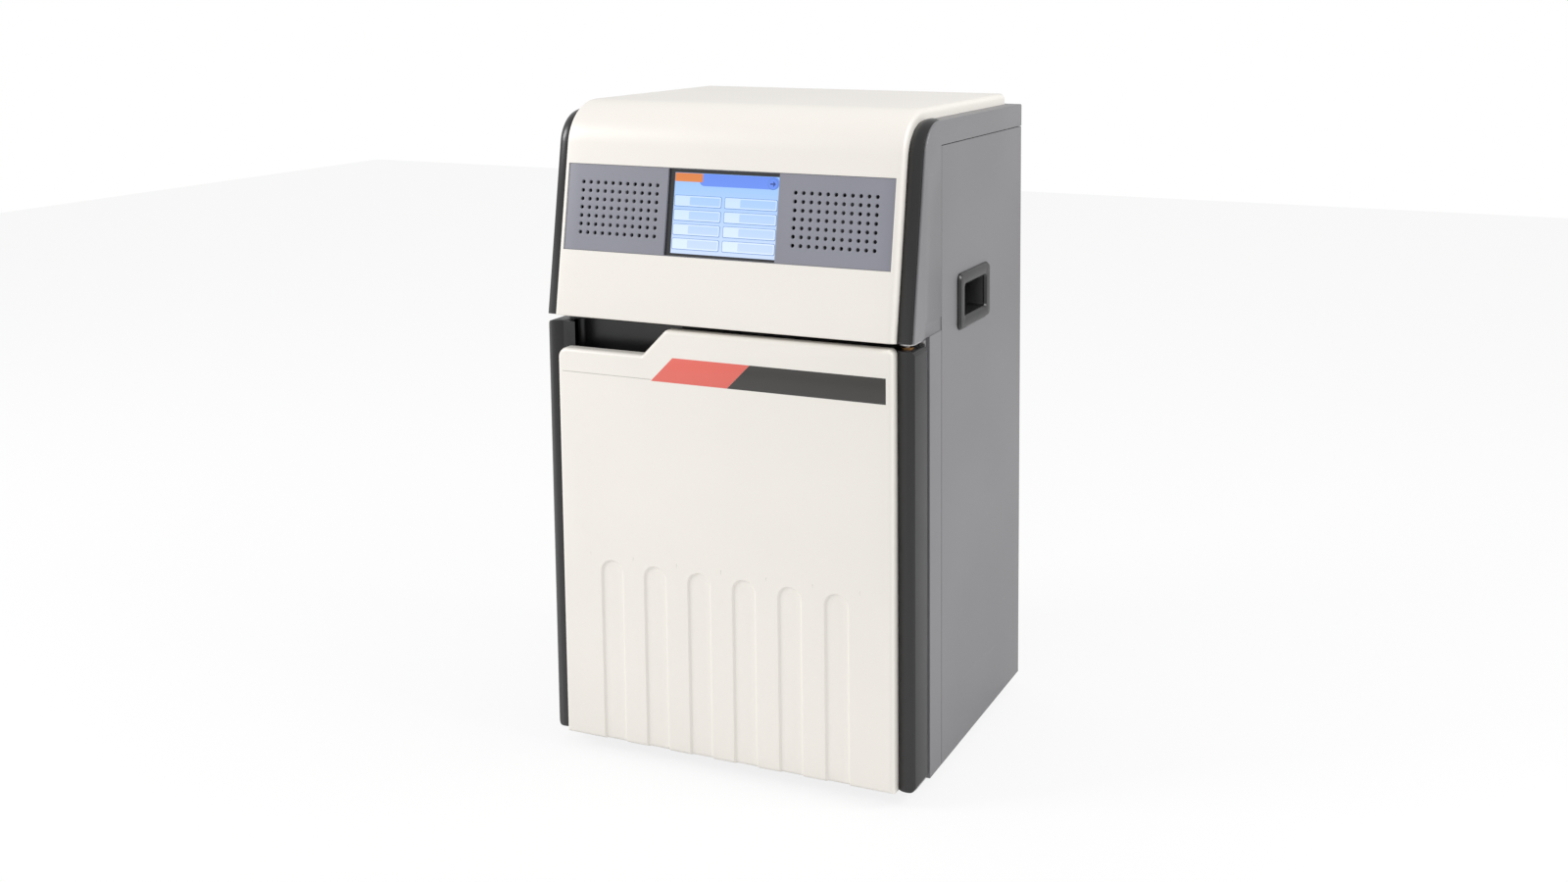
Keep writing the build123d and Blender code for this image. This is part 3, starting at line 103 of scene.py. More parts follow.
# Door, in millimetres
DOOR_FACE = -216.6
DOOR_BACK = -199.5
DOOR_HALF = 255.5
DOOR_LOW = 22.5
DOOR_HIGH = 623.0
DOOR_EDGE = 6.0
DOOR_UNDER = 8.5
NOTCH_Z = 585.6
NOTCH_X = -119.0
NOTCH_TOP_X = -82.0
CORNER_RADII = (14.0, 4.0, 8.5, 8.5)
FLUTES = 6
FLUTE_PITCH = 69.4
FLUTE_HALF = 18.5
FLUTE_TOP = 288.5
FLUTE_WALL = 3.3
FLUTE_DEPTH = 2.3
FLUTE_JOIN = FLUTE_TOP + 8.0  # where the fluted field meets the plain face
FLUTE_START = 40.0
FLUTE_FLOOR = 7.0  # radius of the innermost ring on the flat floor
FLUTE_MARGIN = 20.0  # first column of face beside the fluted field
GRIP_SIDES = (-244.9, -75.1)
GRIP_FRONT = -190.0
GRIP_WALL = -172.5
GRIP_BACK = -169.6
GRIP_HEIGHTS = (558.1, 619.9)
GRIP_RADIUS = 8.0
LABEL_LOW = 551.3
LABEL_HEIGHT = 34.6
LABEL_EDGE = 0.3
LABEL_SINKS = (0.45, -0.12)  # depth of the film's back and of the foot of its sloping edge
RED_LABEL = (-104.4, 13.6, -69.8, 48.2)  # low left, low right, high left, high right
BLACK_LABEL = (13.8, 246.3, 48.4, 246.3)
# Scored line beside the labels: a thin, nearly flat strip whose darkened ivory is painted shade of the
# groove
SCORE_X = (-247.6, -104.4)
SCORE_Z = (552.6, 553.5)
SCORE_SINKS = (0.3, -0.05)

# Screen, in millimetres: left, right, low and high edge, heights of the layers, rows of fields
SCREEN = (-80.0, 79.5, 97.0, 207.0)
LAYERS = (0.02, 0.16, 0.30, 0.44, 0.58)
LAYER_DEPTH = 0.12
ROWS = 4
ROW_PITCH = 19.5
ARROW = ((-4.2, -0.9), (0.6, -0.9), (0.6, -3.8), (4.4, 0.0), (0.6, 3.8), (0.6, 0.9), (-4.2, 0.9))

# Camera fitted to the view: metres, degrees, and the lens and sensor in millimetres
CAMERA_PLACE = (1.05635, -2.05803, 1.08624)
CAMERA_YAW, CAMERA_PITCH, CAMERA_ROLL = 20.910142856, 6.259647018, 0.10061138887
CAMERA_LENS, CAMERA_SENSOR = 36.576, 36.0
CAMERA_SHIFT = (-0.11436, -0.17742)

# Floor: half its width in metres, and the share of white that the camera adds to it
FLOOR_HALF = 6.0
FLOOR_WHITE = 0.84


def paint(red, green, blue):
    """A colour written as 8-bit screen values, turned to the linear values that shaders use."""
    values = np.array([red, green, blue]) / 255
    linear = np.where(values <= 0.04045, values / 12.92, ((values + 0.055) / 1.055) ** 2.4)
    return (*linear.tolist(), 1.0)


# ---------------------------------------------------------------- shader maths


class Field:
    """A shader value. Sums and products of fields and numbers add the maths nodes they need."""

    def __init__(self, graph, socket):
        self.graph = graph
        self.socket = socket

    def _math(self, operation, first, second):
        return self.graph.node("ShaderNodeMath", {"operation": operation}, {0: first, 1: second})

    def __add__(self, other):
        return self._math("ADD", self, other)

    def __radd__(self, other):
        return self._math("ADD", other, self)

    def __sub__(self, other):
        return self._math("SUBTRACT", self, other)

    def __rsub__(self, other):
        return self._math("SUBTRACT", other, self)

    def __mul__(self, other):
        return self._math("MULTIPLY", self, other)

    def ramp(self, low, high):
        """0 at low, 1 at high, a straight line between, clamped outside."""
        return self.graph.node(
            "ShaderNodeMapRange", {"clamp": True}, {"Value": self, "From Min": low, "From Max": high}
        )


class Graph:
    """The node tree of a material or a world, with one way to add nodes to it."""

    def __init__(self, owner):
        owner.use_nodes = True
        self.owner, self.tree = owner, owner.node_tree

    def put(self, socket, value):
        """Sets a socket to a number or colour, or links a field to it."""
        if isinstance(value, Field):
            self.tree.links.new(value.socket, socket)
        else:
            socket.default_value = value

    def node(self, kind, settings=None, inputs=None, output=0):
        """Adds a node of a kind with its settings first, then its sockets; returns an output."""
        made = self.tree.nodes.new(kind)
        for name, value in (settings or {}).items():
            setattr(made, name, value)
        for name, value in (inputs or {}).items():
            self.put(made.inputs[name], value)
        return Field(self, made.outputs[output])

    def blend(self, factor, first, second):
        """Mixture of two shaders."""
        return self.node("ShaderNodeMixShader", None, {"Fac": factor, 1: first, 2: second})

    def show(self, shader):
        """Makes a shader the one that the material or the world shows."""
        end = next(node for node in self.tree.nodes if node.type.startswith("OUTPUT"))
        self.put(end.inputs["Surface"], shader)


class Finish(Graph):
    """One material's node tree, with short ways to add textures to it."""

    def __init__(self, name):
        super().__init__(bpy.data.materials.new(name))
        self.shader = self.tree.nodes["Principled BSDF"]
        self.coordinates = self.node("ShaderNodeTexCoord", output="Object")

    def axis(self, index):
        """One object coordinate in metres."""
        return self.node("ShaderNodeSeparateXYZ", None, {0: self.coordinates}, index)

    def scaled(self, scale):
        """Object coordinates stretched by three factors."""
        return self.node("ShaderNodeMapping", None, {"Vector": self.coordinates, "Scale": scale})

    def noise(self, scale, detail=3.0, rough=0.5, stretch=None):
        """Fractal noise, 0 to 1, with scale in cells per metre."""
        where = self.scaled(stretch) if stretch else self.coordinates
        inputs = {"Vector": where, "Scale": scale, "Detail": detail, "Roughness": rough}
        return self.node("ShaderNodeTexNoise", None, inputs)

    def cells(self, scale, feature="F1"):
        """Distance to scattered points, with scale in cells per metre."""
        inputs = {"Vector": self.coordinates, "Scale": scale}
        return self.node("ShaderNodeTexVoronoi", {"feature": feature}, inputs)

    def mix(self, factor, first, second):
        """Blend of two colours."""
        inputs = {0: factor, 6: first, 7: second}
        return self.node("ShaderNodeMix", {"data_type": "RGBA"}, inputs, 2)

    def bump(self, height, strength, distance):
        """Normal tilted by a height field; distance is the relief in metres."""
        inputs = {"Height": height, "Strength": strength, "Distance": distance}
        return self.node("ShaderNodeBump", None, inputs)

    def finish(self, **values):
        """Sets the surface shader's sockets and returns the material."""
        for name, value in values.items():
            self.put(self.shader.inputs[name.replace("_", " ")], value)
        return self.owner


def tint(colour, factor):
    """A colour with its three values multiplied by factor."""
    return (*[min(1.0, c * factor) for c in colour[:3]], 1.0)


def moulded(name, colour, rough, grain, relief, coat=0.0, spread=0.03):
    """Moulded plastic: slow tone drift, fine grain in the relief and gloss, rubbed patches."""
    graph = Finish(name)
    drift = graph.noise(5.0, 2.0).ramp(0.3, 0.7)
    fine = graph.noise(grain, 4.0, 0.6)
    speck = graph.noise(grain / 6, 3.0, 0.6).ramp(0.35, 0.75)
    tone = graph.mix(drift, tint(colour, 1 - spread), tint(colour, 1 + spread))
    rubbed = graph.noise(18.0, 3.0, 0.6).ramp(0.45, 0.8)
    return graph.finish(
        Base_Color=graph.mix(speck * 0.12, tone, tint(colour, 0.93)),
        Roughness=rough + fine * 0.06 + rubbed * 0.05,
        Coat_Weight=coat,
        Coat_Roughness=0.25,
        Normal=graph.bump(fine, 0.25, relief),
    )


def painted(name, colour, rough, relief=0.00004, grain=1800.0, coat=0.0):
    """Textured paint on sheet metal: tiny rounded bumps, slow tone drift, faint scuffs."""
    graph = Finish(name)
    bumps = graph.cells(grain, "SMOOTH_F1")
    drift = graph.noise(3.5, 2.0).ramp(0.3, 0.7)
    scuff = graph.noise(9.0, 6.0, 0.75, (1.0, 1.0, 9.0)).ramp(0.62, 0.78)
    tone = graph.mix(drift, tint(colour, 0.94), tint(colour, 1.06))
    return graph.finish(
        Base_Color=graph.mix(scuff * 0.2, tone, tint(colour, 1.35)),
        Roughness=rough + bumps * 0.08 - scuff * 0.05,
        Coat_Weight=coat,
        Coat_Roughness=0.3,
        Normal=graph.bump(bumps, 0.35, relief),
    )


def metal(name, colour, rough, stretch=(1.0, 1.0, 1.0), grain=900.0, relief=0.00001):
    """Bare or plated metal: brushed or spangled tone with matching gloss."""
    graph = Finish(name)
    brushed = graph.noise(grain, 3.0, 0.6, stretch)
    patches = graph.noise(24.0, 4.0, 0.6).ramp(0.35, 0.7)
    return graph.finish(
        Base_Color=graph.mix(brushed, tint(colour, 0.86), tint(colour, 1.1)),
        Roughness=rough + brushed * 0.12 + patches * 0.08,
        Metallic=1.0,
        Normal=graph.bump(brushed, 0.2, relief),
    )


def rubbery(name, colour, rough=0.75):
    """Soft rubber: matt, faintly mottled, with fine pores."""
    graph = Finish(name)
    pores = graph.cells(1400.0)
    mottled = graph.noise(60.0, 4.0, 0.6).ramp(0.3, 0.75)
    return graph.finish(
        Base_Color=graph.mix(mottled, tint(colour, 0.8), tint(colour, 1.3)),
        Roughness=rough + mottled * 0.1,
        Normal=graph.bump(pores, 0.3, 0.00005),
    )


def foamed(name, colour):
    """Closed-cell foam: small round cells in tone and relief."""
    graph = Finish(name)
    cells = graph.cells(420.0, "SMOOTH_F1")
    drift = graph.noise(9.0, 3.0)
    return graph.finish(
        Base_Color=graph.mix(cells * 0.6 + drift * 0.3, tint(colour, 0.72), colour),
        Roughness=0.9,
        Normal=graph.bump(cells, 0.7, 0.0006),
    )


def board(name, colour):
    """Circuit board: lacquer over copper lands and fine tracks on a square raster."""
    graph = Finish(name)
    weave = graph.noise(1500.0, 2.0)
    tracks = graph.node(
        "ShaderNodeTexBrick",
        {"offset": 0.5},
        {"Vector": graph.coordinates, "Scale": 60.0, "Mortar Size": 0.03, "Brick Width": 0.9,
         "Row Height": 0.16, "Color1": (0, 0, 0, 1), "Color2": (0.3, 0.3, 0.3, 1),
         "Mortar": (1, 1, 1, 1)},
        "Fac",
    )
    pads = 1 - graph.cells(240.0).ramp(0.12, 0.16)
    lacquer = graph.mix(tracks * 0.5, colour, tint(colour, 2.2))
    return graph.finish(
        Base_Color=graph.mix(pads, lacquer, paint(196, 178, 120)),
        Roughness=0.32 + weave * 0.1,
        Metallic=pads * 0.8,
        Normal=graph.bump(tracks + pads, 0.4, 0.00004),
    )


def lit(name, low_colour, high_colour, strength):
    """Lit display field: colour runs from a lower to an upper shade, over a fine pixel raster."""
    graph = Finish(name)
    rise = graph.axis(2).ramp(0.72, 0.85)
    raster = graph.node(
        "ShaderNodeTexWave", {"bands_direction": "X"}, {"Vector": graph.coordinates, "Scale": 640.0}
    )
    glow = graph.mix(rise, low_colour, high_colour)
    shown = graph.mix(raster * 0.06, glow, (0.0, 0.0, 0.0, 1.0))
    return graph.finish(
        Base_Color=tint(low_colour, 0.15),
        Emission_Color=shown,
        Emission_Strength=strength,
        Roughness=0.22 + raster * 0.02,
        Coat_Weight=0.3,
        Coat_Roughness=0.12,
    )


def make_materials(look):
    """Every finish of the cabinet, by name. look is the property group with the main colours."""
    ivory = (*look.ivory, 1.0)
    grey = (*look.side_grey, 1.0)
    return {
        "ivory": moulded("ivory_moulding", ivory, 0.34, 1500.0, 0.00003, 0.25, 0.012),
        "black": moulded("black_moulding", paint(24, 24, 25), 0.30, 1300.0, 0.00006, 0.2),
        "grey": painted("grey_satin_paint", grey, 0.36, coat=0.2),
        "band": painted("band_satin_paint", (*look.band_grey, 1.0), 0.40, 0.00002, 2600.0, 0.15),
        "zinc": metal("zinc_plate", paint(186, 188, 190), 0.34, (1.0, 1.0, 14.0), 300.0),
        "steel": metal("bright_steel", paint(200, 200, 202), 0.22, (30.0, 1.0, 1.0)),
        "bronze": metal("bearing_bronze", paint(176, 132, 84), 0.32),
        "glass": moulded("display_glass", paint(20, 22, 26), 0.10, 900.0, 0.000002, 0.8),
        "plain_black": moulded("plain_black_plastic", paint(38, 38, 40), 0.45, 1100.0, 0.00008),
        "rubber": rubbery("foot_rubber", paint(36, 36, 37)),
        "gasket": rubbery("gasket_rubber", paint(118, 118, 122), 0.6),
        "heater": rubbery("heater_silicone", paint(196, 96, 44), 0.5),
        "foam": foamed("insulation_foam", paint(226, 222, 208)),
        "liner": moulded("liner_plastic", paint(226, 228, 228), 0.42, 1200.0, 0.00005, 0.1, 0.02),
        # Ivory darkened to 0.55 for the scored line: painted shade of the groove, not a colour of the
        # moulding
        "score": moulded("scored_line", tint(ivory, 0.55), 0.5, 1500.0, 0.00003),
        "rack": moulded("rack_plastic", paint(172, 176, 180), 0.44, 1200.0, 0.00006, 0.0, 0.03),
        "board": board("circuit_board", paint(26, 98, 58)),
        "red": moulded("red_label_film", paint(224, 104, 92), 0.36, 2200.0, 0.00001, 0.3, 0.02),
        "black_label": moulded("black_label_film", paint(50, 48, 46), 0.36, 2200.0, 0.00001, 0.3),
        "gear": moulded("gear_plastic", paint(232, 226, 208), 0.38, 1000.0, 0.00003, 0.1),
        "magnet": moulded("catch_ferrite", paint(70, 70, 72), 0.5, 500.0, 0.0001),
        "sky": lit("screen_sky", paint(206, 222, 250), paint(126, 184, 250), 0.95),
        "header": lit("screen_header", paint(120, 158, 244), paint(96, 134, 236), 0.95),
        "tab": lit("screen_tab", paint(232, 150, 84), paint(214, 120, 62), 0.95),
        "field": lit("screen_field", paint(222, 236, 254), paint(176, 208, 252), 0.98),
        "rim": lit("screen_rim", paint(96, 138, 200), paint(92, 140, 208), 0.85),
        "mark": lit("screen_mark", paint(60, 84, 150), paint(52, 76, 150), 0.8),
    }


MATERIALS = {}


# ------------------------------------------------------------------ mesh tools


def sheet_faces(rows, columns, close_columns=False):
    """Quads of a grid of points numbered row by row; the columns can be closed to a ring."""
    c = np.arange(columns if close_columns else columns - 1)
    r, c = np.meshgrid(np.arange(rows - 1), c, indexing="ij")
    nr, nc = r + 1, (c + 1) % columns
    quads = np.stack([r * columns + c, r * columns + nc, nr * columns + nc, nr * columns + c], -1)
    return quads.reshape(-1, 4)


def shaded(mesh, sharp_degrees):
    """Smooth shading with edges kept sharp above an angle."""
    mesh.polygons.foreach_set("use_smooth", np.ones(len(mesh.polygons), bool))
    mesh.set_sharp_from_angle(angle=math.radians(sharp_degrees))


def face_out(work, toward):
    """Turns each edge-connected sheet of an open mesh so that it mostly faces a direction."""
    left = set(work.faces)
    while left:
        sheet, front = [], [left.pop()]
        while front:
            face = front.pop()
            sheet.append(face)
            for edge in face.edges:
                for other in edge.link_faces:
                    if other in left:
                        left.remove(other)
                        front.append(other)
        if sum(face.normal.dot(toward) * face.calc_area() for face in sheet) < 0:
            bmesh.ops.reverse_faces(work, faces=sheet)


def linked(name, data):
    """A new object in the scene."""
    made = bpy.data.objects.new(name, data)
    bpy.context.scene.collection.objects.link(made)
    return made


def dressed(name, mesh, body, material, replaces, sharp):
    """Makes a piece of a mesh, smooth up to an angle in degrees, and rides it on its body."""
    mesh.validate()
    shaded(mesh, sharp)
    piece = linked(name, mesh)
    mesh.materials.append(MATERIALS[material])
    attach(piece, body)
    if replaces:
        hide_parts(*replaces)
    return piece


def place(name, points, faces, body, material, slot, replaces=(), sharp=35.0, toward=None):
    """Makes a piece from points in millimetres and a list of faces."""
    mesh = bpy.data.meshes.new(name)
    mesh.from_pydata((np.asarray(points) * MM).tolist(), [], [list(map(int, f)) for f in faces])
    work = bmesh.new()
    work.from_mesh(mesh)
    bmesh.ops.remove_doubles(work, verts=work.verts, dist=WELD)
    bmesh.ops.recalc_face_normals(work, faces=work.faces)
    if toward:
        work.normal_update()
        face_out(work, Vector(toward))
    work.to_mesh(mesh)
    work.free()
    return dressed(name, mesh, body, material, replaces, sharp)


class Parts:
    """Gathers several grids of points and faces into one piece."""

    def __init__(self):
        self.points, self.faces, self.count = [], [], 0

    def add(self, points, faces):
        """Adds points of any grid shape and faces numbered from its own first point."""
        points = np.asarray(points, float).reshape(-1, 3)
        self.points.append(points)
        self.faces += [tuple(int(i) + self.count for i in face) for face in faces]
        self.count += len(points)

    def grid(self, points, close_columns=False, keep=None):
        """Adds a grid given as rows, columns, 3; keep masks its faces."""
        faces = sheet_faces(*points.shape[:2], close_columns)
        self.add(points, faces if keep is None else faces[keep.reshape(-1)])

    def place(self, name, *rest, **options):
        """Makes the piece from all that was added."""
        return place(name, np.concatenate(self.points), self.faces, *rest, **options)


def softened(node, material, width, sharp=32.0):
    """A copy of a solid with its flat faces merged, its edges slightly rounded and smooth shading.
    Width is the rounding in millimetres; where merging would change the area, it is left out."""
    source = frame["nodes"][node]
    work = bmesh.new()
    work.from_mesh(source.data)
    bmesh.ops.remove_doubles(work, verts=work.verts, dist=WELD)
    merged = work.copy()
    bmesh.ops.dissolve_limit(
        merged, angle_limit=math.radians(0.4), verts=merged.verts, edges=merged.edges
    )
    bmesh.ops.triangulate(merged, faces=merged.faces)
    areas = [sum(face.calc_area() for face in made.faces) for made in (work, merged)]
    mesh = bpy.data.meshes.new(node + "_shell")
    (merged if abs(areas[0] - areas[1]) < areas[0] * 1e-4 else work).to_mesh(mesh)
    merged.free()
    work.free()
    piece = dressed(node + "_shell", mesh, source["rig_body"], material, [node], sharp)
    bevel = piece.modifiers.new("rounded_edges", "BEVEL")
    bevel.width = width * MM
    bevel.segments = 2
    bevel.limit_method = "ANGLE"
    bevel.angle_limit = math.radians(sharp)
    bevel.harden_normals = True


# -------------------------------------------------------------- hood geometry


def front_y(z):
    """Depth of the hood's leaning front at a height."""
    return FRONT + (z - HOOD_BOTTOM) * HOOD_SLOPE


def hood_rail(arc_steps, top_steps, marks):
    """The hood's side outline: points (y, z) and outward normals, up the front, round the
    corner and along the top. marks are distances up the front that get a point."""
    tangent = np.array([math.sin(LEAN), math.cos(LEAN)])
    normal = np.array([-math.cos(LEAN), math.sin(LEAN)])
    turn = math.pi / 2 - LEAN
    set_back = HOOD_CORNER * math.tan(turn / 2)
    corner = np.array([front_y(HOOD_CROWN), HOOD_CROWN])
    start = np.array([FRONT, HOOD_BOTTOM])
    arc_start = corner - tangent * set_back
    length = np.linalg.norm(arc_start - start)
    along = np.unique(np.concatenate([[0.0, length], marks]))
    front = start + along[:, None] * tangent
    centre = arc_start - normal * HOOD_CORNER
    sweep = np.linspace(0, turn, arc_steps + 1)[1:]
    first = math.atan2(normal[1], normal[0])
    directions = np.stack([np.cos(first - sweep), np.sin(first - sweep)], -1)
    arc = centre + HOOD_CORNER * directions
    top_y = np.linspace(arc[-1, 0], HOOD_REAR, top_steps + 1)[1:]
    top = np.stack([top_y, np.full_like(top_y, HOOD_CROWN)], -1)
    points = np.concatenate([front, arc, top])
    normals = np.concatenate(
        [np.tile(normal, (len(front), 1)), directions, np.tile([0.0, 1.0], (len(top), 1))]
    )
    return points, normals


def hood_place(x, up, out):
    """Point on the leaning front: x across, up the slope from the bottom edge, out from the face."""
    x, up, out = np.broadcast_arrays(x, up, out)
    y = FRONT + up * math.sin(LEAN) - out * math.cos(LEAN)
    z = HOOD_BOTTOM + up * math.cos(LEAN) + out * math.sin(LEAN)
    return np.stack([x, y, z], -1)


def cover_section(edge_radius, edge_steps, xs):
    """Half-open section across the cover: x and how far the surface has sunk below the crown.
    Flat in the middle, a quarter circle at each side, then straight down the lip."""
    angle = np.linspace(0, math.pi / 2, edge_steps + 1)
    bend_x = HOOD_HALF - edge_radius + edge_radius * np.sin(angle)
    bend_in = edge_radius * (1 - np.cos(angle))
    side_x = np.concatenate([bend_x, [HOOD_HALF]])
    side_in = np.concatenate([bend_in, [HOOD_LIP]])
    x = np.concatenate([-side_x[::-1], xs, side_x])
    sunk = np.concatenate([side_in[::-1], np.zeros(len(xs)), side_in])
    return x, sunk


def hood_cover():
    """White cover: the section carried along the side outline, with small rounded end edges and
    an opening for the band whose edges turn inwards."""
    marks = [*HOOD_MARKS, BAND_LOW, BAND_LOW + BAND_HEIGHT]
    rail, normals = hood_rail(18, 6, marks)
    x, sunk = cover_section(HOOD_EDGE, 8, np.linspace(-HOOD_FLAT, HOOD_FLAT, 11))
    tangents = np.gradient(rail, axis=0)
    tangents /= np.linalg.norm(tangents, axis=1)[:, None]
    bend = np.linspace(0, math.pi / 2, 5)

    def ring(base, normal, tangent, pull=0.0, shift=0.0, floor=0.0):
        """One row: the section sunk by pull, at least to floor, and moved along by shift."""
        depth = np.minimum(np.maximum(sunk + pull, floor), HOOD_LIP)
        line = base[None, :] + tangent[None, :] * shift - normal[None, :] * depth[:, None]
        return np.concatenate([x[:, None], line], 1)

    low_end = (rail[0], normals[0], tangents[0])
    rear_end = (rail[-1], normals[-1], np.array([1.0, 0.0]))
    rows = [ring(*low_end, floor=HOOD_LIP)]
    for angle in bend[:-1]:
        rows.append(ring(*low_end, HOOD_FRONT_ROUND * (1 - math.sin(angle)),
                         HOOD_FRONT_ROUND * (1 - math.cos(angle))))
    rows += [ring(*station) for station in zip(rail[1:-1], normals[1:-1], tangents[1:-1])]
    for angle in bend:
        rows.append(ring(*rear_end, HOOD_REAR_ROUND * (1 - math.cos(angle)),
                         -HOOD_REAR_ROUND * (1 - math.sin(angle))))
    rows.append(ring(*rear_end, floor=HOOD_LIP))
    grid = np.stack(rows)

    middle = len(x) // 2
    half, low, high = HOOD_HALF - HOOD_EDGE, BAND_LOW, BAND_LOW + BAND_HEIGHT
    up = (grid[:-1, middle, 2] + grid[1:, middle, 2]) / 2
    across = (x[:-1] + x[1:]) / 2
    on_front = np.arange(len(up)) < len(rows) // 2
    in_band = on_front & (up > hood_place(0.0, low, 0.0)[2]) & (up < hood_place(0.0, high, 0.0)[2])
    parts = Parts()
    parts.grid(grid, keep=~(in_band[:, None] & (np.abs(across)[None, :] < half)))
    corners = np.array([(-half, low), (half, low), (half, high), (-half, high)])
    loop = [hood_place(corners[:, 0], corners[:, 1], out) for out in BAND_OPENING]
    parts.grid(np.stack(loop), close_columns=True)
    return parts


def rounded_outline(half_width, half_height, radius, steps):
    """Points of a rectangle with round corners, anticlockwise from its lower right."""
    angle = np.linspace(0, math.pi / 2, steps + 1)
    pieces = []
    for quarter, (sx, sy) in enumerate(((1, -1), (1, 1), (-1, 1), (-1, -1))):
        turn = angle + (quarter - 1) * math.pi / 2
        centre = np.array([sx * (half_width - radius), sy * (half_height - radius)])
        pieces.append(centre + radius * np.stack([np.cos(turn), np.sin(turn)], -1))
    return np.concatenate(pieces)


def grille_cell():
    """One hole with its square of plate: rings from the square's edge through a soft round rim
    and down the wall. The angles take in the square's corners, so that neighbours meet. Gives
    rings, points, 3 as x, up, out about the hole's centre."""
    half = np.array(GRILLE_PITCH) / 2
    corner = math.atan2(half[1], half[0])
    ends = [-corner, corner, math.pi - corner, math.pi + corner, 2 * math.pi - corner]
    angle = np.concatenate([np.linspace(a, b, 6, endpoint=False) for a, b in zip(ends, ends[1:])])
    segments = len(angle)
    direction = np.stack([np.cos(angle), np.sin(angle)], -1)
    reach = np.min(half / np.maximum(np.abs(direction), 1e-9), axis=1)
    rings = [np.column_stack([direction * reach[:, None], np.zeros(segments)])]
    for a in np.linspace(0, math.pi / 2, 6):
        radius = HOLE_RADIUS + HOLE_RIM * (1 - math.sin(a))
        depth = np.full(segments, -HOLE_RIM * (1 - math.cos(a)))
        rings.append(np.column_stack([direction * radius, depth]))
    rings.append(np.column_stack([direction * HOLE_RADIUS, np.full(segments, -BAND_WALL)]))
    return np.stack(rings)


def grille_band():
    """Grey plate: rounded edges, a screen window and two fields of holes with soft rims."""
    parts = Parts()
    cell = grille_cell()
    columns, rows = GRILLE_CELLS
    px, py = GRILLE_PITCH
    half_w, half_h = columns * px / 2, rows * py / 2
    middle = BAND_LOW + BAND_HEIGHT / 2
    for side in (-1, 1):
        ix = (np.arange(columns) - (columns - 1) / 2) * px + side * GRILLE_X
        iy = (np.arange(rows) - (rows - 1) / 2) * py + middle
        for cx in ix:
            for cy in iy:
                shape = hood_place(cell[..., 0] + cx, cell[..., 1] + cy, cell[..., 2] - BAND_DEPTH)
                parts.grid(shape, close_columns=True)
    outer_w, outer_h, radius = BAND_HALF, BAND_HEIGHT / 2 - BAND_GAP, BAND_EDGE
    low, high = middle - outer_h, middle + outer_h
    lines = [-outer_w + radius, -GRILLE_X - half_w, -GRILLE_X + half_w, WINDOW[0], WINDOW[1],
             GRILLE_X - half_w, GRILLE_X + half_w, outer_w - radius]
    levels = [low + radius, middle - half_h, middle + half_h, high - radius]
    window_low, window_high = low + BAND_FRAME, high - BAND_FRAME

    def flat(x0, x1, u0, u1):
        """A plain rectangle of the plate."""
        corners = np.array([(x0, u0), (x1, u0), (x1, u1), (x0, u1)])
        parts.add(hood_place(corners[:, 0], corners[:, 1], -BAND_DEPTH), [(0, 1, 2, 3)])

    for index in (0, 2, 4, 6):
        flat(lines[index], lines[index + 1], levels[0], levels[3])
    for index in (1, 5):
        flat(lines[index], lines[index + 1], levels[0], levels[1])
        flat(lines[index], lines[index + 1], levels[2], levels[3])
    flat(lines[3], lines[4], levels[0], window_low)
    flat(lines[3], lines[4], window_high, levels[3])
    corner_x = np.array([-1, 1, 1, -1])
    corner_y = np.array([-1, -1, 1, 1])
    edge = []
    for a in np.linspace(0, math.pi / 2, 4):
        grow = radius * math.sin(a)
        edge.append(hood_place(corner_x * (outer_w - radius + grow),
                               middle + corner_y * (outer_h - radius + grow),
                               -BAND_DEPTH - radius * (1 - math.cos(a))))
    floor = CLEAR - GLASS_DEPTH
    edge.append(hood_place(corner_x * outer_w, middle + corner_y * outer_h, floor))
    parts.grid(np.stack(edge), close_columns=True)
    wx = np.array([WINDOW[0], WINDOW[1], WINDOW[1], WINDOW[0]])
    wu = np.array([window_low, window_low, window_high, window_high])
    inner = [hood_place(wx, wu, out) for out in (-BAND_DEPTH, floor)]
    parts.grid(np.stack(inner), close_columns=True)
    return parts


def screen_shape(parts, outline, centre, lift):
    """A thin flat shape on the display's face: its outline in mm about a centre (x, up)."""
    rows = [hood_place(outline[:, 0] + centre[0], outline[:, 1] + centre[1], lift - GLASS_DEPTH + out)
            for out in (0.0, LAYER_DEPTH)]
    parts.grid(np.stack(rows), close_columns=True)
    parts.add(rows[1], [tuple(range(len(outline)))])


def screen_plate(parts, x0, x1, u0, u1, radius, lift, steps):
    """A thin plate with round corners on the display's face, given by its edges in mm."""
    half_w, half_h = (x1 - x0) / 2, (u1 - u0) / 2
    outline = rounded_outline(half_w, half_h, min(radius, half_w * 0.99, half_h * 0.99), steps)
    screen_shape(parts, outline, ((x0 + x1) / 2, (u0 + u1) / 2), lift)


# -------------------------------------------------------------- door geometry


def corner_arcs(corners, radii, steps):
    """Arcs that round the inner corners of an open line, with the outward normal at each point,
    for a line that runs clockwise seen from the front."""
    corners = np.array(corners, float)
    points, normals = [], []
    for before, corner, after, radius in zip(corners, corners[1:], corners[2:], radii):
        b, a = ((end - corner) / np.linalg.norm(end - corner) for end in (before, after))
        half_turn = math.acos(np.clip(b @ a, -1, 1)) / 2
        reach = radius / math.tan(half_turn)
        bisector = (a + b) / np.linalg.norm(a + b)
        centre = corner + bisector * radius / math.sin(half_turn)
        start, end = corner + b * reach - centre, corner + a * reach - centre
        first, last = math.atan2(start[1], start[0]), math.atan2(end[1], end[0])
        swing = (last - first + math.pi) % (2 * math.pi) - math.pi
        sign = 1.0 if swing < 0 else -1.0
        for t in np.linspace(0, 1, steps + 1):
            spoke = np.array([math.cos(first + swing * t), math.sin(first + swing * t)])
            points.append(centre + spoke * radius)
            normals.append(spoke * sign)
    return np.array(points), np.array(normals)


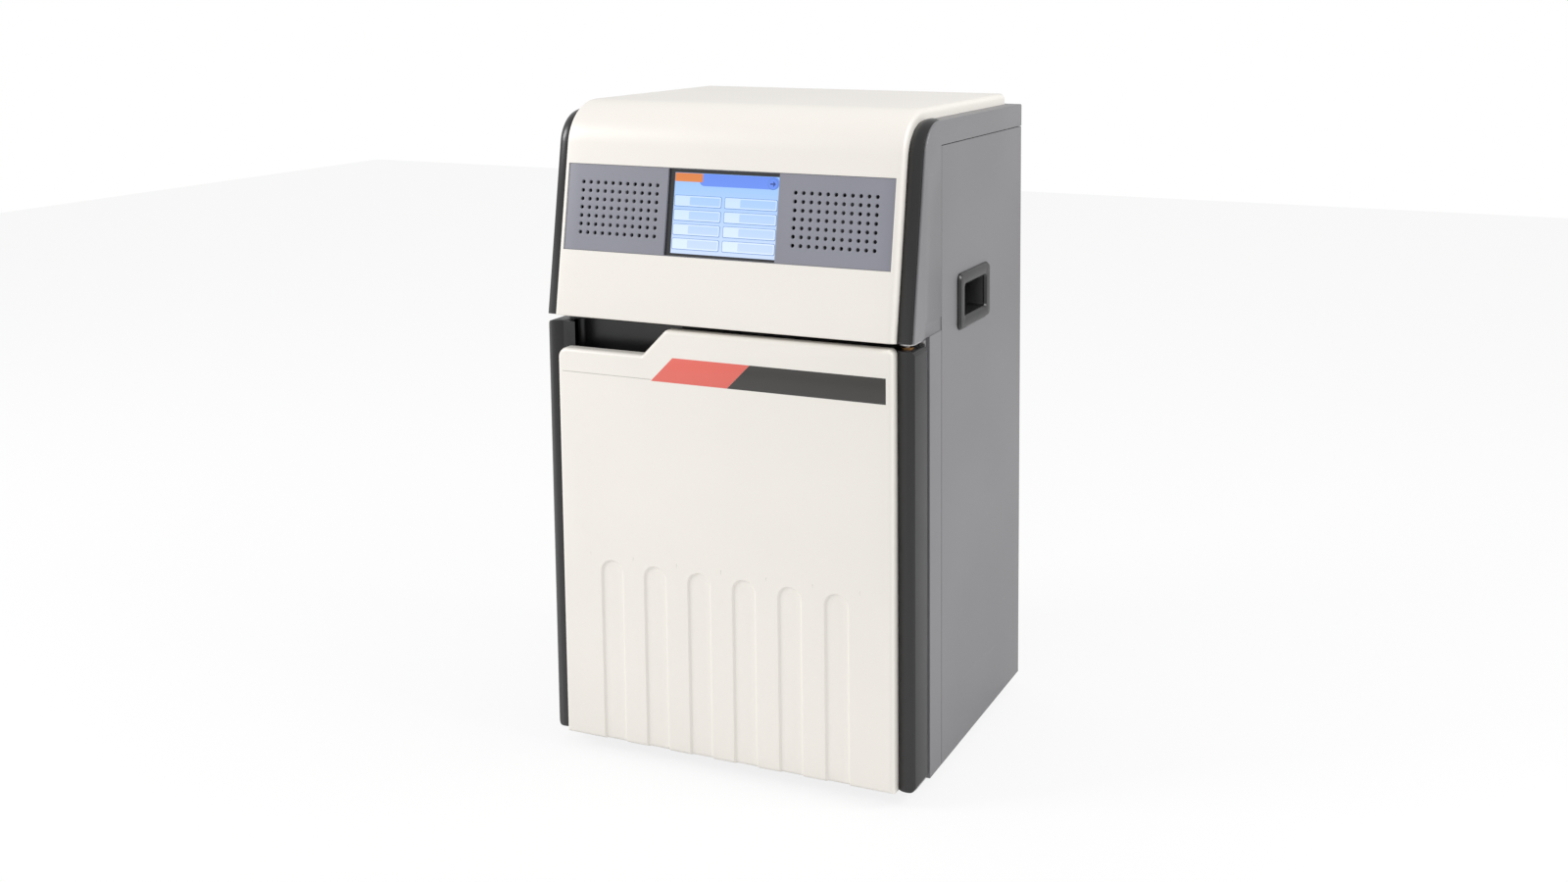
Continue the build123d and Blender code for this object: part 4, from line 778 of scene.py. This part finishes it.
def flute_sink(x, z):
    """How deep the flutes lie at a point: a flat floor, walls that follow a smooth step and a
    round top; the distance is taken from each flute's centre line, which ends at its top arc."""
    index = np.clip(np.round(x / FLUTE_PITCH - 0.5), -FLUTES / 2, FLUTES / 2 - 1) + 0.5
    from_line = x - index * FLUTE_PITCH
    above = np.maximum(z - (FLUTE_TOP - FLUTE_HALF), 0.0)
    inside = FLUTE_HALF - np.hypot(from_line, above)
    step = np.clip(inside / FLUTE_WALL, 0.0, 1.0)
    return FLUTE_DEPTH * step * step * (3 - 2 * step)


def edge_sink(distance, radius):
    """Quarter-circle rounding: depth lost at a distance from the edge."""
    inside = np.clip(1 - distance / radius, 0.0, 1.0)
    return radius * (1 - np.sqrt(np.maximum(1 - inside * inside, 0.0)))


def door_point(x, z, sink):
    """A point of the door's face, sunk towards the back."""
    x, z, sink = np.broadcast_arrays(x, z, sink)
    return np.stack([x, DOOR_FACE + sink, z], -1)


def flute(parts, centre, straight):
    """One flute with its strip of face: rings from the strip's edge inwards, each up one side,
    over the top and down the other. straight lists the heights below the top's arc."""
    arc_z = FLUTE_TOP - FLUTE_HALF
    arc = np.linspace(0, math.pi, 25)[1:-1]
    walls = FLUTE_HALF - FLUTE_WALL * np.linspace(-0.35, 1.0, 11)
    square = np.column_stack([-np.cos(arc), np.sin(arc)])
    reach = np.array([FLUTE_PITCH / 2, FLUTE_JOIN - arc_z]) / np.maximum(np.abs(square), 1e-9)
    curves = [square * np.min(reach, axis=1)[:, None]]
    radii = np.concatenate([[FLUTE_PITCH / 2], walls, [FLUTE_FLOOR, 0.0]])
    curves += [radius * square for radius in radii[1:]]
    rings = []
    for radius, curve in zip(radii, curves):
        left = np.column_stack([np.full(len(straight), -radius), straight])
        right = np.column_stack([np.full(len(straight), radius), straight[::-1]])
        rings.append(np.concatenate([left, curve + [0.0, arc_z], right]))
    grid = np.stack(rings)
    x, z = grid[..., 0] + centre, grid[..., 1]
    parts.grid(door_point(x, z, flute_sink(x, z) + edge_sink(z - DOOR_LOW, DOOR_EDGE)))


def door_cover():
    """White door moulding: six rounded flutes that run out at the bottom, an edge rounding carried
    round the notched outline, and a plain face above that the labels lie on."""
    parts = Parts()
    foot = DOOR_LOW + DOOR_EDGE * (1 - np.cos(np.linspace(0, math.pi / 2, 7)))
    straight = np.concatenate([foot, np.linspace(FLUTE_START, FLUTE_TOP - FLUTE_HALF, 8)])
    for index in range(FLUTES):
        flute(parts, (index - (FLUTES - 1) / 2) * FLUTE_PITCH, straight)

    inner, span = DOOR_HALF - DOOR_EDGE, FLUTES * FLUTE_PITCH / 2
    for side in (-1, 1):
        columns = np.array([side * span, side * (span + FLUTE_MARGIN), side * inner])
        x, z = np.meshgrid(columns, np.append(straight, FLUTE_JOIN))
        parts.grid(door_point(x, z, edge_sink(z - DOOR_LOW, DOOR_EDGE)))

    arcs, normals = corner_arcs(
        [(-DOOR_HALF, DOOR_LOW), (-DOOR_HALF, NOTCH_Z), (NOTCH_X, NOTCH_Z),
         (NOTCH_TOP_X, DOOR_HIGH), (DOOR_HALF, DOOR_HIGH), (DOOR_HALF, DOOR_LOW)],
        CORNER_RADII, 9)
    side_z = np.append(foot, FLUTE_JOIN)
    left = np.column_stack([np.full(len(side_z), -DOOR_HALF), side_z])
    right = np.column_stack([np.full(len(side_z), DOOR_HALF), side_z[::-1]])
    points = np.concatenate([left, arcs, right])
    out = np.concatenate([np.tile([-1.0, 0.0], (len(left), 1)), normals,
                          np.tile([1.0, 0.0], (len(right), 1))])
    rows = []
    for a in np.linspace(0, math.pi / 2, 8):
        moved = points - out * DOOR_EDGE * (1 - math.sin(a))
        sink = np.maximum(DOOR_EDGE * (1 - math.cos(a)), edge_sink(points[:, 1] - DOOR_LOW, DOOR_EDGE))
        rows.append(door_point(moved[:, 0], moved[:, 1], sink))
    back = np.full(len(points), DOOR_BACK - CLEAR)
    rows.append(np.stack([points[:, 0], back, points[:, 1]], -1))
    parts.grid(np.stack(rows))

    inner_line = points - out * DOOR_EDGE
    top = inner_line[inner_line[:, 1] >= FLUTE_JOIN - 1e-6]
    seam = [((index - FLUTES / 2) * FLUTE_PITCH, FLUTE_JOIN) for index in range(FLUTES, -1, -1)]
    face = np.concatenate([top, seam])
    parts.add(door_point(face[:, 0], face[:, 1], 0.0), [tuple(range(len(face)))])

    edge_x = np.concatenate([[-DOOR_HALF], np.linspace(-inner, inner, 60), [DOOR_HALF]])
    low = np.full(len(edge_x), DOOR_LOW)
    rows = [door_point(edge_x, low, DOOR_UNDER),
            np.stack([edge_x, np.full(len(edge_x), DOOR_BACK - CLEAR), low], -1)]
    parts.grid(np.stack(rows))
    return parts


def slab(rows):
    """A closed shape from rings with equal numbers of points: its sides, its front, its back."""
    count = len(rows[0])
    parts = Parts()
    parts.grid(np.stack(rows), close_columns=True)
    parts.add(rows[-1], [tuple(range(count))])
    parts.add(rows[0], [tuple(range(count))[::-1]])
    return parts


def label_film(low_left, low_right, high_left, high_right):
    """A film on the door's face: a slanted outline with a narrow edge that slopes outwards."""
    z0, z1 = LABEL_LOW, LABEL_LOW + LABEL_HEIGHT
    outline = np.array([(low_left, z0), (low_right, z0), (high_right, z1), (high_left, z1)])
    middle = outline.mean(axis=0)
    inner = middle + (outline - middle) * (1 - 2 * LABEL_EDGE / LABEL_HEIGHT)
    return slab([door_point(line[:, 0], line[:, 1], sink)
                 for line, sink in zip((outline, outline, inner), (*LABEL_SINKS, -LABEL_EDGE))])


# ---------------------------------------------------------------------- sizes


class CabinetLook(bpy.types.PropertyGroup):
    """Colours of the cabinet's main finishes."""

    ivory: bpy.props.FloatVectorProperty(
        name="White mouldings", description="Colour of the hood cover and the door moulding",
        subtype="COLOR", size=3, min=0, max=1, default=paint(234, 230, 223)[:3])
    side_grey: bpy.props.FloatVectorProperty(
        name="Side panels", description="Colour of the satin paint on the sides and back",
        subtype="COLOR", size=3, min=0, max=1, default=paint(118, 117, 120)[:3])
    band_grey: bpy.props.FloatVectorProperty(
        name="Grille band", description="Colour of the band with the screen and the grilles",
        subtype="COLOR", size=3, min=0, max=1, default=paint(134, 135, 145)[:3])


class CabinetSizes(bpy.types.PropertyGroup):
    """Small sizes of the dressed pieces."""

    shell_edge: bpy.props.FloatProperty(
        name="Folded edge", description="Rounding on the edges of folded sheet pieces",
        unit="LENGTH", default=0.0012, min=0.0, max=0.003)
    moulded_edge: bpy.props.FloatProperty(
        name="Moulded edge", description="Rounding on the edges of small moulded pieces",
        unit="LENGTH", default=0.0008, min=0.0, max=0.002)


class StageLook(bpy.types.PropertyGroup):
    """Lamps and floor."""

    key_power: bpy.props.FloatProperty(
        name="Key lamp", description="Power of the lamp at the upper left", unit="POWER",
        default=72.0, min=0.0)
    side_power: bpy.props.FloatProperty(
        name="Side lamp", description="Power of the lamp over the right side", unit="POWER",
        default=34.0, min=0.0)
    world_light: bpy.props.FloatProperty(
        name="Room light", description="Strength of the even light from all round", default=0.70,
        min=0.0)
    floor_colour: bpy.props.FloatVectorProperty(
        name="Floor", description="Colour of the floor", subtype="COLOR", size=3, min=0, max=1,
        default=(0.86, 0.86, 0.86))


FINISH = {
    "zinc_steel": "zinc", "rubber_black": "rubber", "bright_steel": "steel", "grey_satin": "grey",
    "black_moulding": "black", "white_moulding": "ivory", "band_grey": "band",
    "screen_glass": "glass", "black_plastic": "plain_black", "board_green": "board",
    "liner_white": "liner", "foam": "foam", "heater_orange": "heater", "magnet": "magnet",
    "red_label": "red", "black_label": "black_label", "gasket_grey": "gasket", "bronze": "bronze",
    "rack_grey": "rack", "gear_plastic": "gear",
}
SLOTS = {part["node"]: part["material_slot"] for part in frame["record"]["subparts"]}

# Solids whose copies get rounded edges: node, rounding as a share of the edge in CabinetSizes
FOLDED = {
    "upper_housing": 1.0, "front_frame": 0.7, "side_panel_left": 1.0, "side_panel_right": 1.0,
    "rear_panel": 0.6, "base_tray": 0.6, "divider_shelf": 0.5, "rack_support_left": 0.6,
    "rack_support_right": 0.6, "rack_side_plates": 0.6, "hinge_plates": 0.6,
}
MOULDED = {
    "hood_fascia": 1.6, "door_pan": 1.5, "handle_bezel_left": 1.2, "handle_bezel_right": 1.2,
    "handle_pocket_left": 1.0, "handle_pocket_right": 1.0, "chamber_liner": 1.0,
    "air_duct_panel": 1.0, "rack_shelves": 0.8, "rack_dividers": 0.8, "rack_back_cover": 1.0,
    "door_liner": 1.5, "power_inlet": 0.8, "switch_bezel": 0.8, "data_ports": 0.6,
    "power_rocker": 1.0, "chamber_fan_frame": 0.8, "exhaust_fan_frame": 0.8, "feet": 1.6,
    "speakers": 0.6, "lcd_module": 0.8, "catch_magnet": 0.5, "strike_plate": 0.4,
}


# ------------------------------------------------------------------ operators


class CABINET_OT_finishes(bpy.types.Operator):
    """Gives every solid of the frame its finish."""

    bl_idname = "cabinet.finishes"
    bl_label = "Finishes"

    def execute(self, context):
        MATERIALS.update(make_materials(context.scene.cabinet_look))
        for name, node in frame["nodes"].items():
            node.data.materials.clear()
            node.data.materials.append(MATERIALS[FINISH[SLOTS[name]]])
        return {"FINISHED"}


class CABINET_OT_hood(bpy.types.Operator):
    """Makes the white cover that runs up the leaning front and over the top."""

    bl_idname = "cabinet.hood"
    bl_label = "Hood cover"

    def execute(self, context):
        hood_cover().place("hood_cover", "cabinet", "ivory", "white_moulding", ["hood_skin"],
                           sharp=40.0, toward=(0, -1, 1))
        return {"FINISHED"}


class CABINET_OT_band(bpy.types.Operator):
    """Makes the grey band with its two fields of holes."""

    bl_idname = "cabinet.band"
    bl_label = "Grille band"

    def execute(self, context):
        grille_band().place("grille_band", "cabinet", "band", "band_grey", ["display_band"],
                            sharp=20.0, toward=(0, -1, 0))
        return {"FINISHED"}


class CABINET_OT_screen(bpy.types.Operator):
    """Lays the lit fields on the display: sky, header, tab, fields and a round button."""

    bl_idname = "cabinet.screen"
    bl_label = "Screen"

    def execute(self, context):
        left, right, low, high = SCREEN
        base, first, second, third, fourth = LAYERS
        layers = {name: Parts() for name in ("sky", "header", "tab", "rim", "field", "mark")}
        # layer, left, right, low, high, corner radius, height over the display, steps of an arc
        plates = [
            ("sky", left, right, low, high, 0.3, base, 5),
            ("header", left + 38.0, right - 0.4, high - 17.0, high - 0.4, 7.5, first, 5),
            ("tab", left + 0.4, left + 43.0, high - 12.0, high - 0.4, 1.2, second, 5),
            ("rim", right - 17.5, right - 2.0, high - 17.5, high - 2.0, 7.7, second, 8),
            ("header", right - 16.7, right - 2.8, high - 16.7, high - 2.8, 6.9, third, 8),
        ]
        for row in range(ROWS):
            top = high - 30.5 - row * ROW_PITCH
            for x0, x1 in ((left + 1.2, left + 74.0), (left + 78.5, right - 1.2)):
                plates += [
                    ("rim", x0, x1, top - 15.6, top, 2.2, first, 5),
                    ("field", x0 + 0.7, x1 - 0.9, top - 14.8, top - 0.6, 1.8, second, 5),
                    ("sky", x0 + 24.0, x1 - 2.6, top - 13.0, top - 2.4, 1.2, third, 5),
                ]
        for name, *plate in plates:
            screen_plate(layers[name], *plate)
        screen_shape(layers["mark"], np.array(ARROW), (right - 9.75, high - 9.75), fourth)
        for name, parts in layers.items():
            parts.place("screen_" + name, "cabinet", name, "screen_glass")
        return {"FINISHED"}


class CABINET_OT_door(bpy.types.Operator):
    """Makes the white fluted moulding on the door."""

    bl_idname = "cabinet.door"
    bl_label = "Door moulding"

    def execute(self, context):
        door_cover().place("door_cover", "door", "ivory", "white_moulding", ["door_skin"],
                           sharp=45.0, toward=(0, -1, 0))
        return {"FINISHED"}


class CABINET_OT_labels(bpy.types.Operator):
    """Makes the bare red and black label films, and beside them the scored line as a thin strip of
    darkened ivory, which is painted shade of the groove.
    """

    bl_idname = "cabinet.labels"
    bl_label = "Label films"

    def execute(self, context):
        label_film(*RED_LABEL).place(
            "label_film_red", "door", "red", "red_label", ["label_red"])
        label_film(*BLACK_LABEL).place(
            "label_film_black", "door", "black_label", "black_label", ["label_black"])
        # The scored line: a flat strip in darkened ivory that stands in for the groove, so its colour is
        # painted shade
        across, up = np.array(SCORE_X)[[0, 1, 1, 0]], np.array(SCORE_Z)[[0, 0, 1, 1]]
        line = slab([door_point(across, up, sink) for sink in SCORE_SINKS])
        line.place("groove_painted_shade_strip", "door", "score", "white_moulding")
        return {"FINISHED"}


class CABINET_OT_grip(bpy.types.Operator):
    """Makes the back of the door's grip pocket: a wall with rounded corners, carried upwards."""

    bl_idname = "cabinet.grip"
    bl_label = "Grip pocket"

    def execute(self, context):
        left, right = GRIP_SIDES
        angle = np.linspace(0, math.pi / 2, 9)
        inward, outward = GRIP_RADIUS * (1 - np.cos(angle)), GRIP_RADIUS * (1 - np.sin(angle))
        x = np.concatenate([[left], left + inward, right - inward[::-1], [right, right, left]])
        y = np.concatenate([[GRIP_FRONT], GRIP_WALL - outward, GRIP_WALL - outward[::-1],
                            [GRIP_FRONT, GRIP_BACK, GRIP_BACK]])
        rows = [np.stack([x, y, np.full(len(x), z)], -1) for z in GRIP_HEIGHTS]
        parts = Parts()
        parts.grid(np.stack(rows), close_columns=True)
        for row in rows:
            parts.add(row, [tuple(range(len(x)))])
        parts.place("grip_pocket_wall", "door", "black", "black_moulding")
        return {"FINISHED"}


class CABINET_OT_shells(bpy.types.Operator):
    """Makes copies of folded and moulded solids with rounded edges and smooth curves."""

    bl_idname = "cabinet.shells"
    bl_label = "Folded and moulded shells"

    def execute(self, context):
        sizes = context.scene.cabinet_sizes
        for shares, edge in ((FOLDED, sizes.shell_edge), (MOULDED, sizes.moulded_edge)):
            for node, share in shares.items():
                softened(node, FINISH[SLOTS[node]], edge / MM * share)
        return {"FINISHED"}


def lamp(name, where, target, power, width):
    """A square area lamp that faces a target point."""
    data = bpy.data.lights.new(name, "AREA")
    data.size = width
    data.energy = power
    made = linked(name, data)
    made.location = where
    made.rotation_euler = (Vector(target) - Vector(where)).to_track_quat("-Z", "Y").to_euler()


def fitted_camera():
    """The camera that gives the wanted view, turned by its yaw, pitch and roll."""
    yaw, pitch, roll = (math.radians(turn) for turn in (CAMERA_YAW, CAMERA_PITCH, CAMERA_ROLL))
    forward = Vector((
        -math.sin(yaw) * math.cos(pitch), math.cos(yaw) * math.cos(pitch), -math.sin(pitch)))
    right = forward.cross(Vector((0, 0, 1))).normalized()
    up = right.cross(forward)
    across = right * math.cos(roll) + up * math.sin(roll)
    above = up * math.cos(roll) - right * math.sin(roll)
    data = bpy.data.cameras.new("camera")
    data.lens, data.sensor_width = CAMERA_LENS, CAMERA_SENSOR
    data.shift_x, data.shift_y = CAMERA_SHIFT
    camera = linked("camera", data)
    turn = Matrix((across, above, -forward)).transposed().to_4x4()
    camera.matrix_world = Matrix.Translation(CAMERA_PLACE) @ turn
    return camera


def studio_world(light):
    """A world that the camera sees as white, with even light of a given strength."""
    graph = Graph(bpy.data.worlds.new("studio"))
    seen = graph.node("ShaderNodeLightPath", output="Is Camera Ray")
    through = graph.node("ShaderNodeLightPath", output="Is Transmission Ray")
    shown = graph.node("ShaderNodeMath", {"operation": "MAXIMUM"}, {0: seen, 1: through})
    white, room = (
        graph.node("ShaderNodeBackground", None, {"Color": (1, 1, 1, 1), "Strength": strength})
        for strength in (1.0, light))
    graph.show(graph.blend(shown, room, white))
    return graph.owner


def floor_paint(colour):
    """Matt floor that the camera sees mostly as white, so that it runs into the background."""
    graph = Finish("floor_paint")
    speck = graph.noise(40.0, 3.0)
    graph.finish(Base_Color=graph.mix(speck * 0.1, colour, tint(colour, 0.97)), Roughness=0.9)
    seen = graph.node("ShaderNodeLightPath", output="Is Camera Ray")
    matt = Field(graph, graph.shader.outputs[0])
    graph.show(graph.blend(seen * FLOOR_WHITE, matt, graph.node("ShaderNodeEmission")))
    return graph.owner


class CABINET_OT_stage(bpy.types.Operator):
    """Sets the camera, the lamps, the floor and the white background."""

    bl_idname = "cabinet.stage"
    bl_label = "Stage"

    def execute(self, context):
        scene, look = context.scene, context.scene.stage_look
        scene.camera = fitted_camera()
        scene.view_settings.view_transform = "Standard"
        scene.world = studio_world(look.world_light)
        lamp("key_lamp", (-2.9, -1.9, 2.3), (0.0, -0.1, 0.5), look.key_power, 1.3)
        lamp("side_lamp", (2.3, 0.0, 2.1), (0.25, 0.0, 0.85), look.side_power, 1.2)

        corners = [(x * FLOOR_HALF, y * FLOOR_HALF, 0) for x, y in ((-1, -1), (1, -1), (1, 1), (-1, 1))]
        mesh = bpy.data.meshes.new("floor")
        mesh.from_pydata(corners, [], [(0, 1, 2, 3)])
        floor = linked("floor", mesh)
        mesh.materials.append(floor_paint((*look.floor_colour, 1.0)))
        return {"FINISHED"}


STEPS = (
    CABINET_OT_finishes, CABINET_OT_hood, CABINET_OT_band, CABINET_OT_screen, CABINET_OT_door,
    CABINET_OT_labels, CABINET_OT_grip, CABINET_OT_shells, CABINET_OT_stage,
)


class CABINET_PT_panel(bpy.types.Panel):
    """Lists the sizes, the colours and the steps in their order."""

    bl_label = "Culture cabinet"
    bl_idname = "CABINET_PT_panel"
    bl_space_type = "VIEW_3D"
    bl_region_type = "UI"
    bl_category = "Cabinet"

    def draw(self, context):
        for group in (context.scene.cabinet_look, context.scene.cabinet_sizes, context.scene.stage_look):
            for name in group.bl_rna.properties.keys():
                if name not in {"rna_type", "name"}:
                    self.layout.prop(group, name)
        for step in STEPS:
            self.layout.operator(step.bl_idname)


CLASSES = (CabinetLook, CabinetSizes, StageLook, *STEPS, CABINET_PT_panel)


def register():
    for cls in CLASSES:
        bpy.utils.register_class(cls)
    bpy.types.Scene.cabinet_look = bpy.props.PointerProperty(type=CabinetLook)
    bpy.types.Scene.cabinet_sizes = bpy.props.PointerProperty(type=CabinetSizes)
    bpy.types.Scene.stage_look = bpy.props.PointerProperty(type=StageLook)


def unregister():
    for name in ("cabinet_look", "cabinet_sizes", "stage_look"):
        delattr(bpy.types.Scene, name)
    for cls in reversed(CLASSES):
        bpy.utils.unregister_class(cls)


def main():
    register()
    for step in STEPS:
        group, name = step.bl_idname.split(".")
        if getattr(getattr(bpy.ops, group), name)() != {"FINISHED"}:
            raise RuntimeError(step.bl_idname + " did not finish")


if __name__ == "__main__":
    main()
